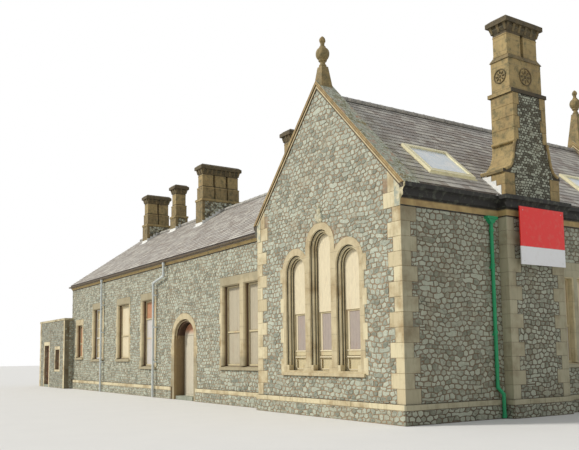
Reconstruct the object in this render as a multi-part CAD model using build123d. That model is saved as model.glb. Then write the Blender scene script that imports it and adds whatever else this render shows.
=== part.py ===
"""Disused stone railway station: a gabled wing with a side stack, a long range beside it and a low annexe.

Sizes are in millimetres. +X runs right along the front, +Y goes back into the building and +Z is up.
The origin is on the ground, on the wing's centre line, at the middle of its front wall's thickness.
"""
from build123d import *
import math
import os

# Wing: the gabled block that faces forward
WING_WIDTH = 7000
WING_LENGTH = 12500
WALL = 600
PARAPET = 500
CORNICE_FOOT = 5430
CORNICE_HEIGHT = 570
CORNICE_OUT = 220
CORNICE_LIP = 60
CORNICE_CHANNEL = 130
CORNICE_BED = 25
WING_RIDGE = 9375
WING_PITCH = 42.55
WING_ROOF_EDGE = 80
COPING_RISE = 425
COPING_PITCH = 45.7
COPING_FACE = 270
COPING_OUT = 50
KNEELER_IN = 200

# Range: the long block to the left of the wing
RANGE_SETBACK = 444
RANGE_LENGTH = 22020
RANGE_DEPTH = 8400
RANGE_RIDGE = 8890
RANGE_PITCH = 34.7
EAVES_FOOT = 5610
EAVES_OUT = 90
EAVES_HOLLOW = 60
EAVES_LIP = 95
ROOF_OVERHANG = 90
VERGE_OUT = 100

# Annexe: the low block at the range's far end
ANNEXE_STEP = 494
ANNEXE_LAP = 280
ANNEXE_LENGTH = 5360
ANNEXE_DEPTH = 5300
ANNEXE_HEIGHT = 4020
ANNEXE_WALL = 450
ANNEXE_ROOF_HIGH = 3700
ANNEXE_ROOF_FALL = 500
ANNEXE_COPING = 120
ANNEXE_COPING_OUT = 40

# Ground courses, floors and roofs
PLINTH_HEIGHT = 500
PLINTH_OUT = 60
FLOOR = 150
ROOF_THICK = 150
RIDGE_ROLL = 90
RIDGE_WING = 190
RIDGE_SKIN = 25

# Stone round the openings
JAMB = 200
SURROUND_DEPTH = 330
SURROUND_PROUD = 15
SILL_HEIGHT = 150
SILL_OUT = 60
LINTEL = 330
CHAMFER = 40
REVEAL = 190
BOARD = 30
SASH = 60
SASH_DEPTH = 70
FIT = 2

# Three round-headed lights in the front gable
LANCET_WIDTH = 1037
LANCET_PITCH = 1289
LANCET_FOOT = 1290
LANCET_CROWN = 4740
LANCET_CENTRE_CROWN = 5350
LANCET_OFFSET = 2
LANCET_ORDER = 60
LANCET_REVEAL = 240
LANCET_TRANSOM = 2990
LANCET_APRON = 1780
LANCET_SILL_FOOT = 1145

# Places along the range, as shares of its length from the wing to its far end
WINDOW_SHARES = (0.933, 0.7902, 0.619, 0.4752)
TWO_LIGHT_SHARE = 0.0863
DOOR_SHARE = 0.3031
CHIMNEY_SHARES = (0.8946, 0.7493, 0.5341, 0.2203)

# Windows of the range: width, sill and head, from the far end
WINDOW_SIZES = ((950, 1780, 3540), (1450, 1685, 4270), (1450, 1685, 4270), (1430, 1350, 4270))
TWO_LIGHT_SIZE = (2800, 1390, 4270)
TWO_LIGHT_MULLION = 340

# Main doorway of the range
DOOR_WIDTH = 1850
DOOR_SPRING = 2600
DOOR_CROWN = 3250
DOOR_REVEAL = 400
DOOR_ORDERS = 3
DOOR_ORDER = 70
DOOR_SURROUND = 230

# Windows of the wing's right side and rear gable
SIDE_WINDOW_WIDTH = 1400
SIDE_WINDOW_FOOT = 1440
SIDE_WINDOW_HEAD = 3900
SIDE_WINDOW_MULLION = 240
SIDE_WINDOW_LINTEL = 460
SIDE_WINDOW_GAP = 10
SIDE_WINDOW_FROM_REAR = 2600

# Breast and stack on the wing's right side
BREAST_CENTRE = 4420
BREAST_WIDTH = 2340
BREAST_OUT = 290
STACK_IN = 530
STACK_WIDTH = 2300
SHOULDER_RISE = 680
LIP_HEIGHT = 100
LIP_OUT = 60
SCROLL_HEIGHT = 1000
SCROLL_FULL = 130
SCROLL_LOW = 260
SHAFT_WIDTH = 1380
SHAFT_HEIGHT = 1360
STRING_HEIGHT = 110
STRING_OUT = 60
MID_THICK = 650
MID_HEIGHT = 930
WEATHERING = 140
FLUE_THICK = 500
FLUE_WIDTH = 580
FLUE_GAP = 130
FLUE_HEIGHT = 690
CAP_HEIGHT = 440
CAP_OUT = 145
POT_HOLE = 260
POT_DEPTH = 150

# Chimneys on the range's ridge: number of flues in each, and heights from the ridge up
CHIMNEY_FLUES = (2, 1, 3, 1)
CHIMNEY_THICK = 730
CHIMNEY_FLUE = 700
CHIMNEY_FLUTE = 50
CHIMNEY_ROOT = 880
CHIMNEY_BASE = 590
CHIMNEY_STAGE = 605
CHIMNEY_SHAFT = 655
CHIMNEY_CAP = 490

# Finials, skylights, sign and rainwater goods
FRONT_BALL = 860
REAR_BALL = 1500
FRONT_PEDESTAL = 420
REAR_PEDESTAL = 540
RING_RADIUS = 115
RING_HEIGHT = 70
NECK_RADIUS = 80
NECK_HEIGHT = 110
COLLAR_RADIUS = 130
COLLAR_HEIGHT = 60
BALL_RADIUS = 210
BALL_HALF = 170
BALL_BAND = 60
STEM_FOOT_RADIUS = 95
STEM_RADIUS = 65
STEM_HEIGHT = 114
BUD_RADIUS = 100
BUD_RISE = 71
BUD_HEIGHT = 142
BUD_TIP = 15
SKYLIGHT_WIDTH = 1700
SKYLIGHT_LENGTH = 1500
SKYLIGHT_DOWN = 2720
SKYLIGHTS = (1110, 8000)
SKYLIGHT_FRAME = 110
SKYLIGHT_CURB = 90
SKYLIGHT_PANE = 10
SIGN_WIDTH = 1860
SIGN_HEIGHT = 1590
SIGN_FOOT = 4110
SIGN_THICK = 30
PIPE_RADIUS = 50
PIPE_SIDES = 12
PIPE_OFF = 70
PIPE_FROM_BREAST = 360
PIPE_FROM_JAMB = 5
PIPE_SHIFT = 1100
PIPE_DROP = 585
PIPE_FALL = 200
PIPE_FOOT = 20
PIPE_KNEE = 140
PIPE_SLOPE = 180
BRACKET = 70
BRACKET_HEIGHT = 50
HOPPER_WIDTH = 400
HOPPER_HEIGHT = 200
HOPPER_RIM = 60
HOPPER_TAPER = 30
HOPPER_LAP = 10
WING_BRACKETS = (2200, 4000)
RANGE_BRACKETS = (1500, 3000, 4400)
GUTTER_RADIUS = 65
GUTTER_SKIN = 5
GUTTER_DROP = 100

# Annexe openings: the door's centre from the far end, the window's from the near end
ANNEXE_DOOR_IN = 1600
ANNEXE_DOOR_WIDTH = 1000
ANNEXE_DOOR_HEAD = 2500
ANNEXE_WINDOW_IN = 1460
ANNEXE_WINDOW_WIDTH = 800
ANNEXE_WINDOW_FOOT = 1070
ANNEXE_WINDOW_HEAD = 2230
DOOR_GAP = 8
LEAF = 45
LEAF_DEPTH = 190
LEDGE = 30
LEDGE_HEIGHT = 140
LEDGE_IN = 170
LEDGE_SIDE = 120
KNUCKLE_RADIUS = 14
KNUCKLE_HEIGHT = 60
HINGE_GAP = 0.3
HINGE_IN = 12
HINGE_LOW = 300
HINGE_HIGH = 400
STRAP = 60
PINTLE_ARM = 16

# Places that follow from the driving sizes
HALF = WING_WIDTH / 2
FRONT = -WALL / 2
REAR = FRONT + WING_LENGTH
WING_TAN = math.tan(math.radians(WING_PITCH))
COPING_TAN = math.tan(math.radians(COPING_PITCH))
RANGE_TAN = math.tan(math.radians(RANGE_PITCH))
WING_DROP = ROOF_THICK / math.cos(math.radians(WING_PITCH))
RANGE_DROP = ROOF_THICK / math.cos(math.radians(RANGE_PITCH))
COPING_APEX = WING_RIDGE + COPING_RISE
CORNICE_TOP = CORNICE_FOOT + CORNICE_HEIGHT
RANGE_FRONT = FRONT + RANGE_SETBACK
RANGE_REAR = RANGE_FRONT + RANGE_DEPTH
RANGE_MIDDLE = (RANGE_FRONT + RANGE_REAR) / 2
RANGE_RIGHT = -HALF
RANGE_LEFT = RANGE_RIGHT - RANGE_LENGTH
ANNEXE_FRONT = RANGE_FRONT - ANNEXE_STEP
ANNEXE_REAR = ANNEXE_FRONT + ANNEXE_DEPTH
ANNEXE_RIGHT = RANGE_LEFT + ANNEXE_LAP
ANNEXE_LEFT = ANNEXE_RIGHT - ANNEXE_LENGTH
ANNEXE_DOOR = ANNEXE_LEFT + ANNEXE_DOOR_IN
ANNEXE_WINDOW = ANNEXE_RIGHT - ANNEXE_WINDOW_IN
BREAST_FACE = HALF + BREAST_OUT
STACK_BACK = HALF - STACK_IN
STACK_X = (STACK_BACK + BREAST_FACE) / 2
SHOULDER = CORNICE_TOP + SHOULDER_RISE
SHAFT_FOOT = SHOULDER + SCROLL_HEIGHT
SHAFT_TOP = SHAFT_FOOT + SHAFT_HEIGHT
MID_FOOT = SHAFT_TOP + STRING_HEIGHT
MID_TOP = MID_FOOT + MID_HEIGHT
FLUE_FOOT = MID_TOP + WEATHERING
CAP_FOOT = FLUE_FOOT + FLUE_HEIGHT


def wing_top(x):
    """Height of the wing's slates at a distance x from its centre line."""
    return WING_RIDGE - WING_TAN * abs(x)


def wing_under(x):
    return wing_top(x) - WING_DROP


def coping_top(x):
    return COPING_APEX - COPING_TAN * abs(x)


def range_top(y):
    """Height of the range's slates at the depth y."""
    return RANGE_RIDGE - RANGE_TAN * abs(y - RANGE_MIDDLE)


def range_under(y):
    return range_top(y) - RANGE_DROP


def along_range(share):
    return RANGE_RIGHT - share * RANGE_LENGTH


def outline(*points):
    return make_face(Polyline(*points, close=True))


def across_y(face, start, stop):
    """Extrude a face drawn in X and Z from one depth to another."""
    plane = Plane(origin=(0, start, 0), x_dir=(1, 0, 0), z_dir=(0, -1, 0))
    return extrude(plane * face, amount=start - stop)


def across_x(face, start, stop):
    """Extrude a face drawn in Y and Z from one place along the front to another."""
    plane = Plane(origin=(start, 0, 0), x_dir=(0, 1, 0), z_dir=(1, 0, 0))
    return extrude(plane * face, amount=stop - start)


def block(x_range, y_range, z_range):
    size = [high - low for low, high in (x_range, y_range, z_range)]
    middle = [(high + low) / 2 for low, high in (x_range, y_range, z_range)]
    return Pos(*middle) * Box(*size)


def mirrored(points):
    """Close a half outline, given from the outside in, with its mirror image about X = 0."""
    return [(x, z) for x, z in points] + [(-x, z) for x, z in reversed(points) if x]


def rect_face(centre, width, foot, head):
    return outline(
        (centre - width / 2, foot),
        (centre + width / 2, foot),
        (centre + width / 2, head),
        (centre - width / 2, head),
    )


def arch_face(centre, width, foot, spring, crown):
    """Arch on straight jambs: round where its rise is half its width, else elliptical."""
    half, rise = width / 2, crown - spring
    left, right = centre - half, centre + half
    jambs = Polyline((left, spring), (left, foot), (right, foot), (right, spring))
    if math.isclose(half, rise):
        head = ThreePointArc((right, spring), (centre, crown), (left, spring))
    else:
        head = EllipticalCenterArc((centre, spring), half, rise, 0, arc_size=180)
    return make_face(jambs + head)


# Where each wall face lies: local X along the wall, local Y into it, Z up
FRONT_FACE = Location((0, FRONT, 0))
RANGE_FRONT_FACE = Location((0, RANGE_FRONT, 0))
RANGE_REAR_FACE = Location((0, RANGE_REAR, 0), (0, 0, 180))
REAR_FACE = Location((0, REAR, 0), (0, 0, 180))
SIDE_FACE = Location((HALF, 0, 0), (0, 0, 90))
ANNEXE_FACE = Location((0, ANNEXE_FRONT, 0))


def chamfered_hole(width, foot, head, centre, depth):
    """Square-headed hole with a chamfered arris, cut from a surround."""
    hole = across_y(rect_face(centre, width, foot, head), -SURROUND_PROUD, depth)
    mouth = rect_face(centre, width + 2 * CHAMFER, foot, head + CHAMFER)
    throat = rect_face(centre, width, foot, head)
    outer = Plane(origin=(0, -SURROUND_PROUD, 0), x_dir=(1, 0, 0), z_dir=(0, -1, 0)) * mouth
    inner = Plane(origin=(0, CHAMFER - SURROUND_PROUD, 0), x_dir=(1, 0, 0), z_dir=(0, -1, 0)) * throat
    return hole + loft([outer, inner], ruled=True)


def window_surround(centre, width, foot, head, mullion=0, lintel=LINTEL):
    """Jambs, lintel, weathered sill and an optional mullion as one dressed frame."""
    frame = across_y(
        rect_face(centre, width + 2 * JAMB, foot, head + lintel), -SURROUND_PROUD, SURROUND_DEPTH
    )
    light = (width - mullion) / (2 if mullion else 1)
    places = (centre - (light + mullion) / 2, centre + (light + mullion) / 2) if mullion else (centre,)
    for place in places:
        frame -= chamfered_hole(light, foot, head, place, SURROUND_DEPTH)
    sill = outline(
        (-SURROUND_PROUD - SILL_OUT, foot - SILL_HEIGHT),
        (SURROUND_DEPTH, foot - SILL_HEIGHT),
        (SURROUND_DEPTH, foot),
        (REVEAL, foot),
        (-SURROUND_PROUD - SILL_OUT, foot - SILL_OUT),
    )
    return frame + across_x(sill, centre - width / 2 - JAMB, centre + width / 2 + JAMB)


def window_cut(centre, width, foot, head, thick, lintel=LINTEL):
    """Hole in a wall that takes a surround, with the clear opening through the wall behind it."""
    seat = rect_face(centre, width + 2 * JAMB, foot - SILL_HEIGHT, head + lintel)
    clear = rect_face(centre, width, foot, head)
    return across_y(seat, 0, SURROUND_DEPTH) + across_y(clear, 0, thick)


def boarded_sash(centre, width, foot, head, rail):
    """Timber frame with a meeting rail and boards fixed across both halves."""
    clear_width = width - 2 * FIT
    frame = across_y(rect_face(centre, clear_width, foot, head - FIT), REVEAL, REVEAL + SASH_DEPTH)
    half = SASH / 2
    for low, high in ((foot + SASH, rail - half), (rail + half, head - SASH)):
        panel = rect_face(centre, clear_width - 2 * SASH, low, high)
        frame -= across_y(panel, REVEAL, REVEAL + SASH_DEPTH - BOARD)
    return frame


def lights(centre, width, mullion):
    """Centre and width of each light of a two-light window."""
    light = (width - mullion) / 2
    return [(centre - (light + mullion) / 2, light), (centre + (light + mullion) / 2, light)]


def lancets():
    """Centre and crown of each of the three round-headed lights."""
    crowns = (LANCET_CROWN, LANCET_CENTRE_CROWN, LANCET_CROWN)
    return [(LANCET_OFFSET + (i - 1) * LANCET_PITCH, crown) for i, crown in enumerate(crowns)]


def lancet_face(centre, crown, grow, foot=LANCET_FOOT):
    width = LANCET_WIDTH + 2 * grow
    return arch_face(centre, width, foot, crown - LANCET_WIDTH / 2, crown + grow)


def lancet_seat(depth, proud):
    seat = None
    for centre, crown in lancets():
        piece = across_y(lancet_face(centre, crown, JAMB, LANCET_SILL_FOOT), -proud, depth)
        seat = piece if seat is None else seat + piece
    return seat


def lancet_surround():
    """Dressed frame of the three lights: each jamb and arch steps in by two hollow orders."""
    frame = lancet_seat(SURROUND_DEPTH, SURROUND_PROUD)
    order_depth = LANCET_REVEAL / 3
    for centre, crown in lancets():
        for i in range(3):
            face = lancet_face(centre, crown, -i * LANCET_ORDER)
            start = -SURROUND_PROUD if i == 0 else i * order_depth
            stop = (i + 1) * order_depth if i < 2 else SURROUND_DEPTH
            frame -= across_y(face, start, stop)
    sill = outline(
        (-SURROUND_PROUD - SILL_OUT, LANCET_SILL_FOOT),
        (SURROUND_DEPTH, LANCET_SILL_FOOT),
        (SURROUND_DEPTH, LANCET_FOOT),
        (LANCET_REVEAL, LANCET_FOOT),
        (-SURROUND_PROUD - SILL_OUT, LANCET_FOOT - SILL_OUT),
    )
    reach = LANCET_PITCH + LANCET_WIDTH / 2 + JAMB
    return frame + across_x(sill, LANCET_OFFSET - reach, LANCET_OFFSET + reach)


def lancet_boards():
    """Plain upper boards over a boarded sash and an apron panel, one piece for each light."""
    solids = []
    step = 2 * LANCET_ORDER + FIT
    for centre, crown in lancets():
        solid = across_y(lancet_face(centre, crown, -step), LANCET_REVEAL, LANCET_REVEAL + SASH_DEPTH)
        inner = LANCET_WIDTH - 2 * step - 2 * SASH
        for low, high in ((LANCET_FOOT, LANCET_APRON), (LANCET_APRON, LANCET_TRANSOM)):
            panel = rect_face(centre, inner, low + SASH, high - SASH)
            solid -= across_y(panel, LANCET_REVEAL, LANCET_REVEAL + SASH_DEPTH - BOARD)
        solids.append(FRONT_FACE * (Pos(0, 0, FIT) * solid))
    return Compound(children=solids)


def gable_wall(place):
    """Wing end wall: full thickness to the roof, thinner parapet up to the coping."""
    coping_under = COPING_APEX - COPING_FACE
    parapet = mirrored([
        (HALF, PLINTH_HEIGHT),
        (HALF, CORNICE_FOOT),
        (HALF - KNEELER_IN, CORNICE_FOOT),
        (HALF - KNEELER_IN, coping_under - COPING_TAN * (HALF - KNEELER_IN)),
        (0, coping_under),
    ])
    backing = mirrored([
        (HALF, PLINTH_HEIGHT),
        (HALF, CORNICE_FOOT),
        (HALF - WALL, CORNICE_FOOT),
        (HALF - WALL, wing_under(HALF - WALL)),
        (0, wing_under(0)),
    ])
    wall = across_y(outline(*parapet), 0, PARAPET) + across_y(outline(*backing), PARAPET, WALL)
    return place, wall


def front_wall():
    place, wall = gable_wall(FRONT_FACE)
    wall -= lancet_seat(SURROUND_DEPTH, 0)
    clear = LANCET_WIDTH - 4 * LANCET_ORDER
    for centre, crown in lancets():
        inner = rect_face(centre, clear, LANCET_FOOT, crown - 2 * LANCET_ORDER)
        wall -= across_y(inner, SURROUND_DEPTH, WALL)
    return place * wall


def rear_wall():
    place, wall = gable_wall(REAR_FACE)
    cut = window_cut(0, SIDE_WINDOW_WIDTH, SIDE_WINDOW_FOOT, SIDE_WINDOW_HEAD, WALL, SIDE_WINDOW_LINTEL)
    return place * (wall - cut)


def side_window_centres():
    """The nearer window stands hard against the breast, as its jamb is cut to meet it."""
    near = BREAST_CENTRE + BREAST_WIDTH / 2 + SIDE_WINDOW_GAP + JAMB + SIDE_WINDOW_WIDTH / 2
    return near, REAR - SIDE_WINDOW_FROM_REAR


def right_wall():
    wall = block((HALF - WALL, HALF), (FRONT + WALL, REAR - WALL), (PLINTH_HEIGHT, CORNICE_FOOT))
    for centre in side_window_centres():
        cut = window_cut(
            centre, SIDE_WINDOW_WIDTH, SIDE_WINDOW_FOOT, SIDE_WINDOW_HEAD, WALL, SIDE_WINDOW_LINTEL
        )
        wall -= SIDE_FACE * cut
    return wall


def left_wall():
    return block((-HALF, WALL - HALF), (FRONT + WALL, REAR - WALL), (PLINTH_HEIGHT, CORNICE_FOOT))


def wing_roof(side):
    """One slope of the wing's roof; the right one is notched round the stack and cut for skylights."""
    edge = HALF + WING_ROOF_EDGE
    slope = outline(
        (0, wing_top(0)), (edge, wing_top(edge)), (edge, wing_under(edge)), (0, wing_under(0))
    )
    roof = across_y(slope, FRONT + PARAPET, REAR - PARAPET)
    if side < 0:
        return mirror(roof, about=Plane.YZ)
    half = STACK_WIDTH / 2
    notch = (BREAST_CENTRE - half, BREAST_CENTRE + half)
    roof -= block((STACK_BACK, edge + 1), notch, (0, WING_RIDGE))
    for start in SKYLIGHTS:
        roof -= skylight_box(start, SKYLIGHT_FRAME, (-2 * ROOF_THICK, ROOF_THICK))
    return roof


# Plane of the right slope: local X down the slope, local Y along the ridge, local Z out of the slates
SLOPE = Plane(
    origin=(0, 0, WING_RIDGE),
    x_dir=(math.cos(math.radians(WING_PITCH)), 0, -math.sin(math.radians(WING_PITCH))),
    z_dir=(math.sin(math.radians(WING_PITCH)), 0, math.cos(math.radians(WING_PITCH))),
)


def skylight_box(start, inset, heights):
    down = (SKYLIGHT_DOWN + inset, SKYLIGHT_DOWN + SKYLIGHT_LENGTH - inset)
    along = (start + inset, start + SKYLIGHT_WIDTH - inset)
    return SLOPE.location * block(down, along, heights)


def skylight_frames():
    frames = []
    for start in SKYLIGHTS:
        frame = skylight_box(start, 0, (0, SKYLIGHT_CURB))
        frames.append(frame - skylight_box(start, SKYLIGHT_FRAME, (0, SKYLIGHT_CURB)))
    return Compound(children=frames)


def skylight_panes():
    low = SKYLIGHT_CURB / 2
    return Compound(children=[
        skylight_box(start, SKYLIGHT_FRAME, (low, low + SKYLIGHT_PANE)) for start in SKYLIGHTS
    ])


def ridge_section(apex, tan):
    wing = outline(
        (0, apex),
        (RIDGE_WING, apex - tan * RIDGE_WING),
        (RIDGE_WING, apex - tan * RIDGE_WING + RIDGE_SKIN),
        (0, apex + RIDGE_SKIN),
        (-RIDGE_WING, apex - tan * RIDGE_WING + RIDGE_SKIN),
        (-RIDGE_WING, apex - tan * RIDGE_WING),
    )
    roll = Pos(0, apex + RIDGE_SKIN) * Circle(RIDGE_ROLL)
    reach = 2 * RIDGE_WING
    under = outline((0, apex), (reach, apex - tan * reach), (-reach, apex - tan * reach))
    return wing + roll - under


def wing_ridge():
    return across_y(ridge_section(WING_RIDGE, WING_TAN), FRONT + PARAPET, REAR - PARAPET)


def coping(place):
    """Raking coping with a moulded face, whose springers stand behind and over the cornice."""
    inner, lip = HALF - KNEELER_IN, HALF + CORNICE_OUT - CORNICE_LIP
    channel = CORNICE_TOP - CORNICE_CHANNEL
    tip = (COPING_APEX - CORNICE_TOP) / COPING_TAN
    face = outline(
        (0, COPING_APEX),
        (0, COPING_APEX - COPING_FACE),
        (inner, coping_top(inner) - COPING_FACE),
        (inner, CORNICE_FOOT),
        (HALF, CORNICE_FOOT),
        (HALF, channel),
        (lip, channel),
        (lip, CORNICE_TOP),
        (tip, CORNICE_TOP),
    )
    lip_face = outline(
        (0, COPING_APEX),
        (0, COPING_APEX - COPING_FACE / 2),
        (tip - COPING_FACE / 2 / COPING_TAN, CORNICE_TOP),
        (tip, CORNICE_TOP),
    )
    half = across_y(face, -COPING_OUT / 2, PARAPET) + across_y(lip_face, -COPING_OUT, PARAPET)
    return place * (half + mirror(half, about=Plane.YZ))


def gable_copings():
    """Both copings; the front one carries the short cornice end beside the range."""
    z = CORNICE_FOOT
    stub = moulding(Polyline((HALF, FRONT - COPING_OUT / 2, z), (HALF, FRONT + PARAPET, z)))
    return Compound(children=[coping(FRONT_FACE) + mirror(stub, about=Plane.YZ), coping(REAR_FACE)])


def eight_sided(*bands):
    """Upright solid with flat sides, through the height and half-width of each band's edge."""
    right = [(half, z) for z, half in bands]
    left = [(-half, z) for z, half in reversed(bands)]
    reach = max(half for _, half in bands)
    slab = across_y(outline(*right, *left), -reach, reach)
    solid = slab
    for turn in (45, 90, 135):
        solid &= Rot(0, 0, turn) * slab
    return solid


def finial(ball_rise, pedestal, y):
    """Tapered pedestal astride the coping, with a ring, a neck, a ball in three bands and a bud."""
    half, ball = pedestal / 2, COPING_APEX + ball_rise
    low, high = ball - BALL_HALF, ball + BALL_HALF
    collar = low - COLLAR_HEIGHT
    ring_top = collar - NECK_HEIGHT
    ring = ring_top - RING_HEIGHT
    foot = coping_top(half)
    saddle = outline((0, COPING_APEX), (half, foot), (-half, foot))
    base = flare(pedestal, pedestal, foot, ring - foot, RING_RADIUS - half) - across_y(saddle, -half, half)
    pole = math.sqrt(BALL_RADIUS ** 2 - BALL_HALF ** 2)
    shoulder = math.sqrt(BALL_RADIUS ** 2 - BALL_BAND ** 2)
    stem = high + COLLAR_HEIGHT
    bud = stem + STEM_HEIGHT
    turned = eight_sided(
        (ring, RING_RADIUS),
        (ring_top, RING_RADIUS),
        (ring_top, NECK_RADIUS),
        (collar, NECK_RADIUS),
        (collar, COLLAR_RADIUS),
        (low, COLLAR_RADIUS),
        (low, pole),
        (ball - BALL_BAND, shoulder),
        (ball + BALL_BAND, shoulder),
        (high, pole),
        (stem, STEM_FOOT_RADIUS),
        (stem, STEM_RADIUS),
        (bud, STEM_RADIUS),
        (bud + BUD_RISE, BUD_RADIUS),
        (bud + BUD_RISE + BUD_HEIGHT, BUD_TIP),
    )
    return Pos(0, y, 0) * (base + turned)


def finials():
    middle = PARAPET / 2 - COPING_OUT / 2
    return Compound(children=[
        finial(FRONT_BALL, FRONT_PEDESTAL, FRONT + middle),
        finial(REAR_BALL, REAR_PEDESTAL, REAR - middle),
    ])


def cornice_face():
    """Cornice drawn outside the wall face: cavetto, fillet, ogee and lip, with the gutter behind."""
    rise, out, bed = CORNICE_HEIGHT, CORNICE_OUT, CORNICE_BED
    lower = Polyline((0, 0), (bed, 0), (bed, 0.12 * rise))
    hollow = ThreePointArc(
        (bed, 0.12 * rise), (bed + 0.1 * out, 0.3 * rise), (0.5 * out, 0.42 * rise)
    )
    fillet = Polyline((0.5 * out, 0.42 * rise), (0.6 * out, 0.42 * rise), (0.6 * out, 0.56 * rise))
    swell = ThreePointArc(
        (0.6 * out, 0.56 * rise), (0.72 * out, 0.74 * rise), (out, 0.8 * rise)
    )
    inner, channel = out - CORNICE_LIP, rise - CORNICE_CHANNEL
    lip = Polyline((out, 0.8 * rise), (out, rise), (inner, rise), (inner, channel))
    back = Polyline((inner, channel), (0, channel), (0, 0))
    return make_face(lower + hollow + fillet + swell + lip + back)


def moulding(path):
    """Cornice profile swept along a plan path that starts by running along +Y."""
    start = path @ 0
    plane = Plane(origin=(start.X, start.Y, CORNICE_FOOT), x_dir=(1, 0, 0), z_dir=(0, -1, 0))
    return sweep(plane * cornice_face(), path=path, transition=Transition.RIGHT)


def wall_head(start, stop):
    """Stone course on the wall top that carries the rafters behind the cornice."""
    top_in, top_out = wing_under(HALF - WALL), CORNICE_TOP - CORNICE_CHANNEL
    edge = HALF
    face = outline(
        (HALF - WALL, CORNICE_FOOT),
        (edge, CORNICE_FOOT),
        (edge, min(top_out, wing_under(edge))),
        (HALF - WALL, top_in),
    )
    return across_y(face, start, stop)


def wing_cornices():
    """Right cornice, which wraps the breast, and the left one behind the range."""
    start, stop = FRONT + PARAPET, REAR - PARAPET
    front_end, rear_end = FRONT - COPING_OUT / 2, REAR + COPING_OUT / 2
    near, far = BREAST_CENTRE - BREAST_WIDTH / 2, BREAST_CENTRE + BREAST_WIDTH / 2
    z = CORNICE_FOOT
    path = Polyline(
        (HALF, front_end, z),
        (HALF, near, z),
        (BREAST_FACE, near, z),
        (BREAST_FACE, far, z),
        (HALF, far, z),
        (HALF, rear_end, z),
    )
    core = (BREAST_CENTRE - STACK_WIDTH / 2, BREAST_CENTRE + STACK_WIDTH / 2)
    channel = CORNICE_TOP - CORNICE_CHANNEL
    right = moulding(path) + wall_head(start, core[0]) + wall_head(core[1], stop)
    right += block((HALF, BREAST_FACE), (near, core[0]), (z, channel))
    right += block((HALF, BREAST_FACE), (core[1], far), (z, channel))
    left_run = moulding(Polyline((HALF, RANGE_REAR, z), (HALF, rear_end, z)))
    left = mirror(left_run + wall_head(start, stop), about=Plane.YZ)
    return Compound(children=[right, left])


def chimney_breast():
    near, far = BREAST_CENTRE - BREAST_WIDTH / 2, BREAST_CENTRE + BREAST_WIDTH / 2
    return block((HALF, BREAST_FACE), (near, far), (PLINTH_HEIGHT, CORNICE_FOOT))


def stack_base():
    """Stack through the cornice, whose shoulders scroll in to the shaft."""
    half, lip, shaft = STACK_WIDTH / 2, STACK_WIDTH / 2 + LIP_OUT, SHAFT_WIDTH / 2
    lip_top = SHOULDER + LIP_HEIGHT
    right = Polyline(
        (0, CORNICE_FOOT), (half, CORNICE_FOOT), (half, SHOULDER), (lip, SHOULDER), (lip, lip_top),
        (lip - 2 * LIP_OUT, lip_top),
    )
    scroll = ThreePointArc(
        (lip - 2 * LIP_OUT, lip_top), (shaft + SCROLL_FULL, lip_top + SCROLL_LOW), (shaft, SHAFT_FOOT)
    )
    top = Polyline((shaft, SHAFT_FOOT), (0, SHAFT_FOOT), (0, CORNICE_FOOT))
    side = across_x(make_face(right + scroll + top), STACK_BACK, BREAST_FACE)
    whole = side + mirror(side, about=Plane.XZ)
    return Pos(0, BREAST_CENTRE, 0) * whole


def flare(thick, width, foot, height, out):
    """Rectangular block whose sides lean out evenly, or in where out is negative."""
    top, x, y = foot + height, thick / 2, width / 2
    ends = outline((-x, foot), (x, foot), (x + out, top), (-x - out, top))
    sides = outline((-y, foot), (y, foot), (y + out, top), (-y - out, top))
    reach = abs(out)
    return across_y(ends, -y - reach, y + reach) & across_x(sides, -x - reach, x + reach)


def stepped_cap(thick, width, foot, rise, out):
    """Corbelled chimney cap about the Z axis: a hollow, a band of brackets and a weathered top."""
    grow = 0.45 * out
    hollow, band, slab = 0.3 * rise, 0.2 * rise, 0.3 * rise
    cap = flare(thick, width, foot, hollow, grow)
    cap += Pos(0, 0, foot + hollow + band / 2) * Box(thick + 2 * grow, width + 2 * grow, band)
    cap += Pos(0, 0, foot + hollow + band + slab / 2) * Box(thick + 2 * out, width + 2 * out, slab)
    last = rise - hollow - band - slab
    return cap + flare(thick + 2 * out, width + 2 * out, foot + rise - last, last, grow / 2 - out)


def flue_hole(place, top):
    """Square flue sunk in a cap's top."""
    return Pos(0, place, top - POT_DEPTH / 2) * Box(POT_HOLE, POT_HOLE, POT_DEPTH)


def stack_shaft():
    """Rubble shaft, its string course and the ashlar stage above."""
    x = STACK_X
    lower = block(
        (STACK_BACK + STRING_OUT / 2, BREAST_FACE),
        (BREAST_CENTRE - SHAFT_WIDTH / 2, BREAST_CENTRE + SHAFT_WIDTH / 2),
        (SHAFT_FOOT, SHAFT_TOP),
    )
    string = Pos(x, BREAST_CENTRE, SHAFT_TOP + STRING_HEIGHT / 2) * Box(
        BREAST_FACE - STACK_BACK + STRING_OUT, SHAFT_WIDTH + 2 * STRING_OUT, STRING_HEIGHT
    )
    middle = Pos(x, BREAST_CENTRE, (MID_FOOT + MID_TOP) / 2) * Box(MID_THICK, SHAFT_WIDTH, MID_HEIGHT)
    lean_in = (FLUE_THICK - MID_THICK) / 2
    offset = flare(MID_THICK + STRING_OUT, SHAFT_WIDTH + STRING_OUT, MID_TOP, WEATHERING, lean_in)
    return lower + string + middle + Pos(x, BREAST_CENTRE, 0) * offset


def stack_cap():
    """Two flue shafts under one corbelled cap, open at the top of each flue."""
    shift = (FLUE_WIDTH + FLUE_GAP) / 2
    cap = stepped_cap(FLUE_THICK, 2 * FLUE_WIDTH + FLUE_GAP, CAP_FOOT, CAP_HEIGHT, CAP_OUT)
    for place in (-shift, shift):
        cap += Pos(0, place, (FLUE_FOOT + CAP_FOOT) / 2) * Box(FLUE_THICK, FLUE_WIDTH, FLUE_HEIGHT)
        cap -= flue_hole(place, CAP_FOOT + CAP_HEIGHT)
    return Pos(STACK_X, BREAST_CENTRE, 0) * cap


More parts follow.
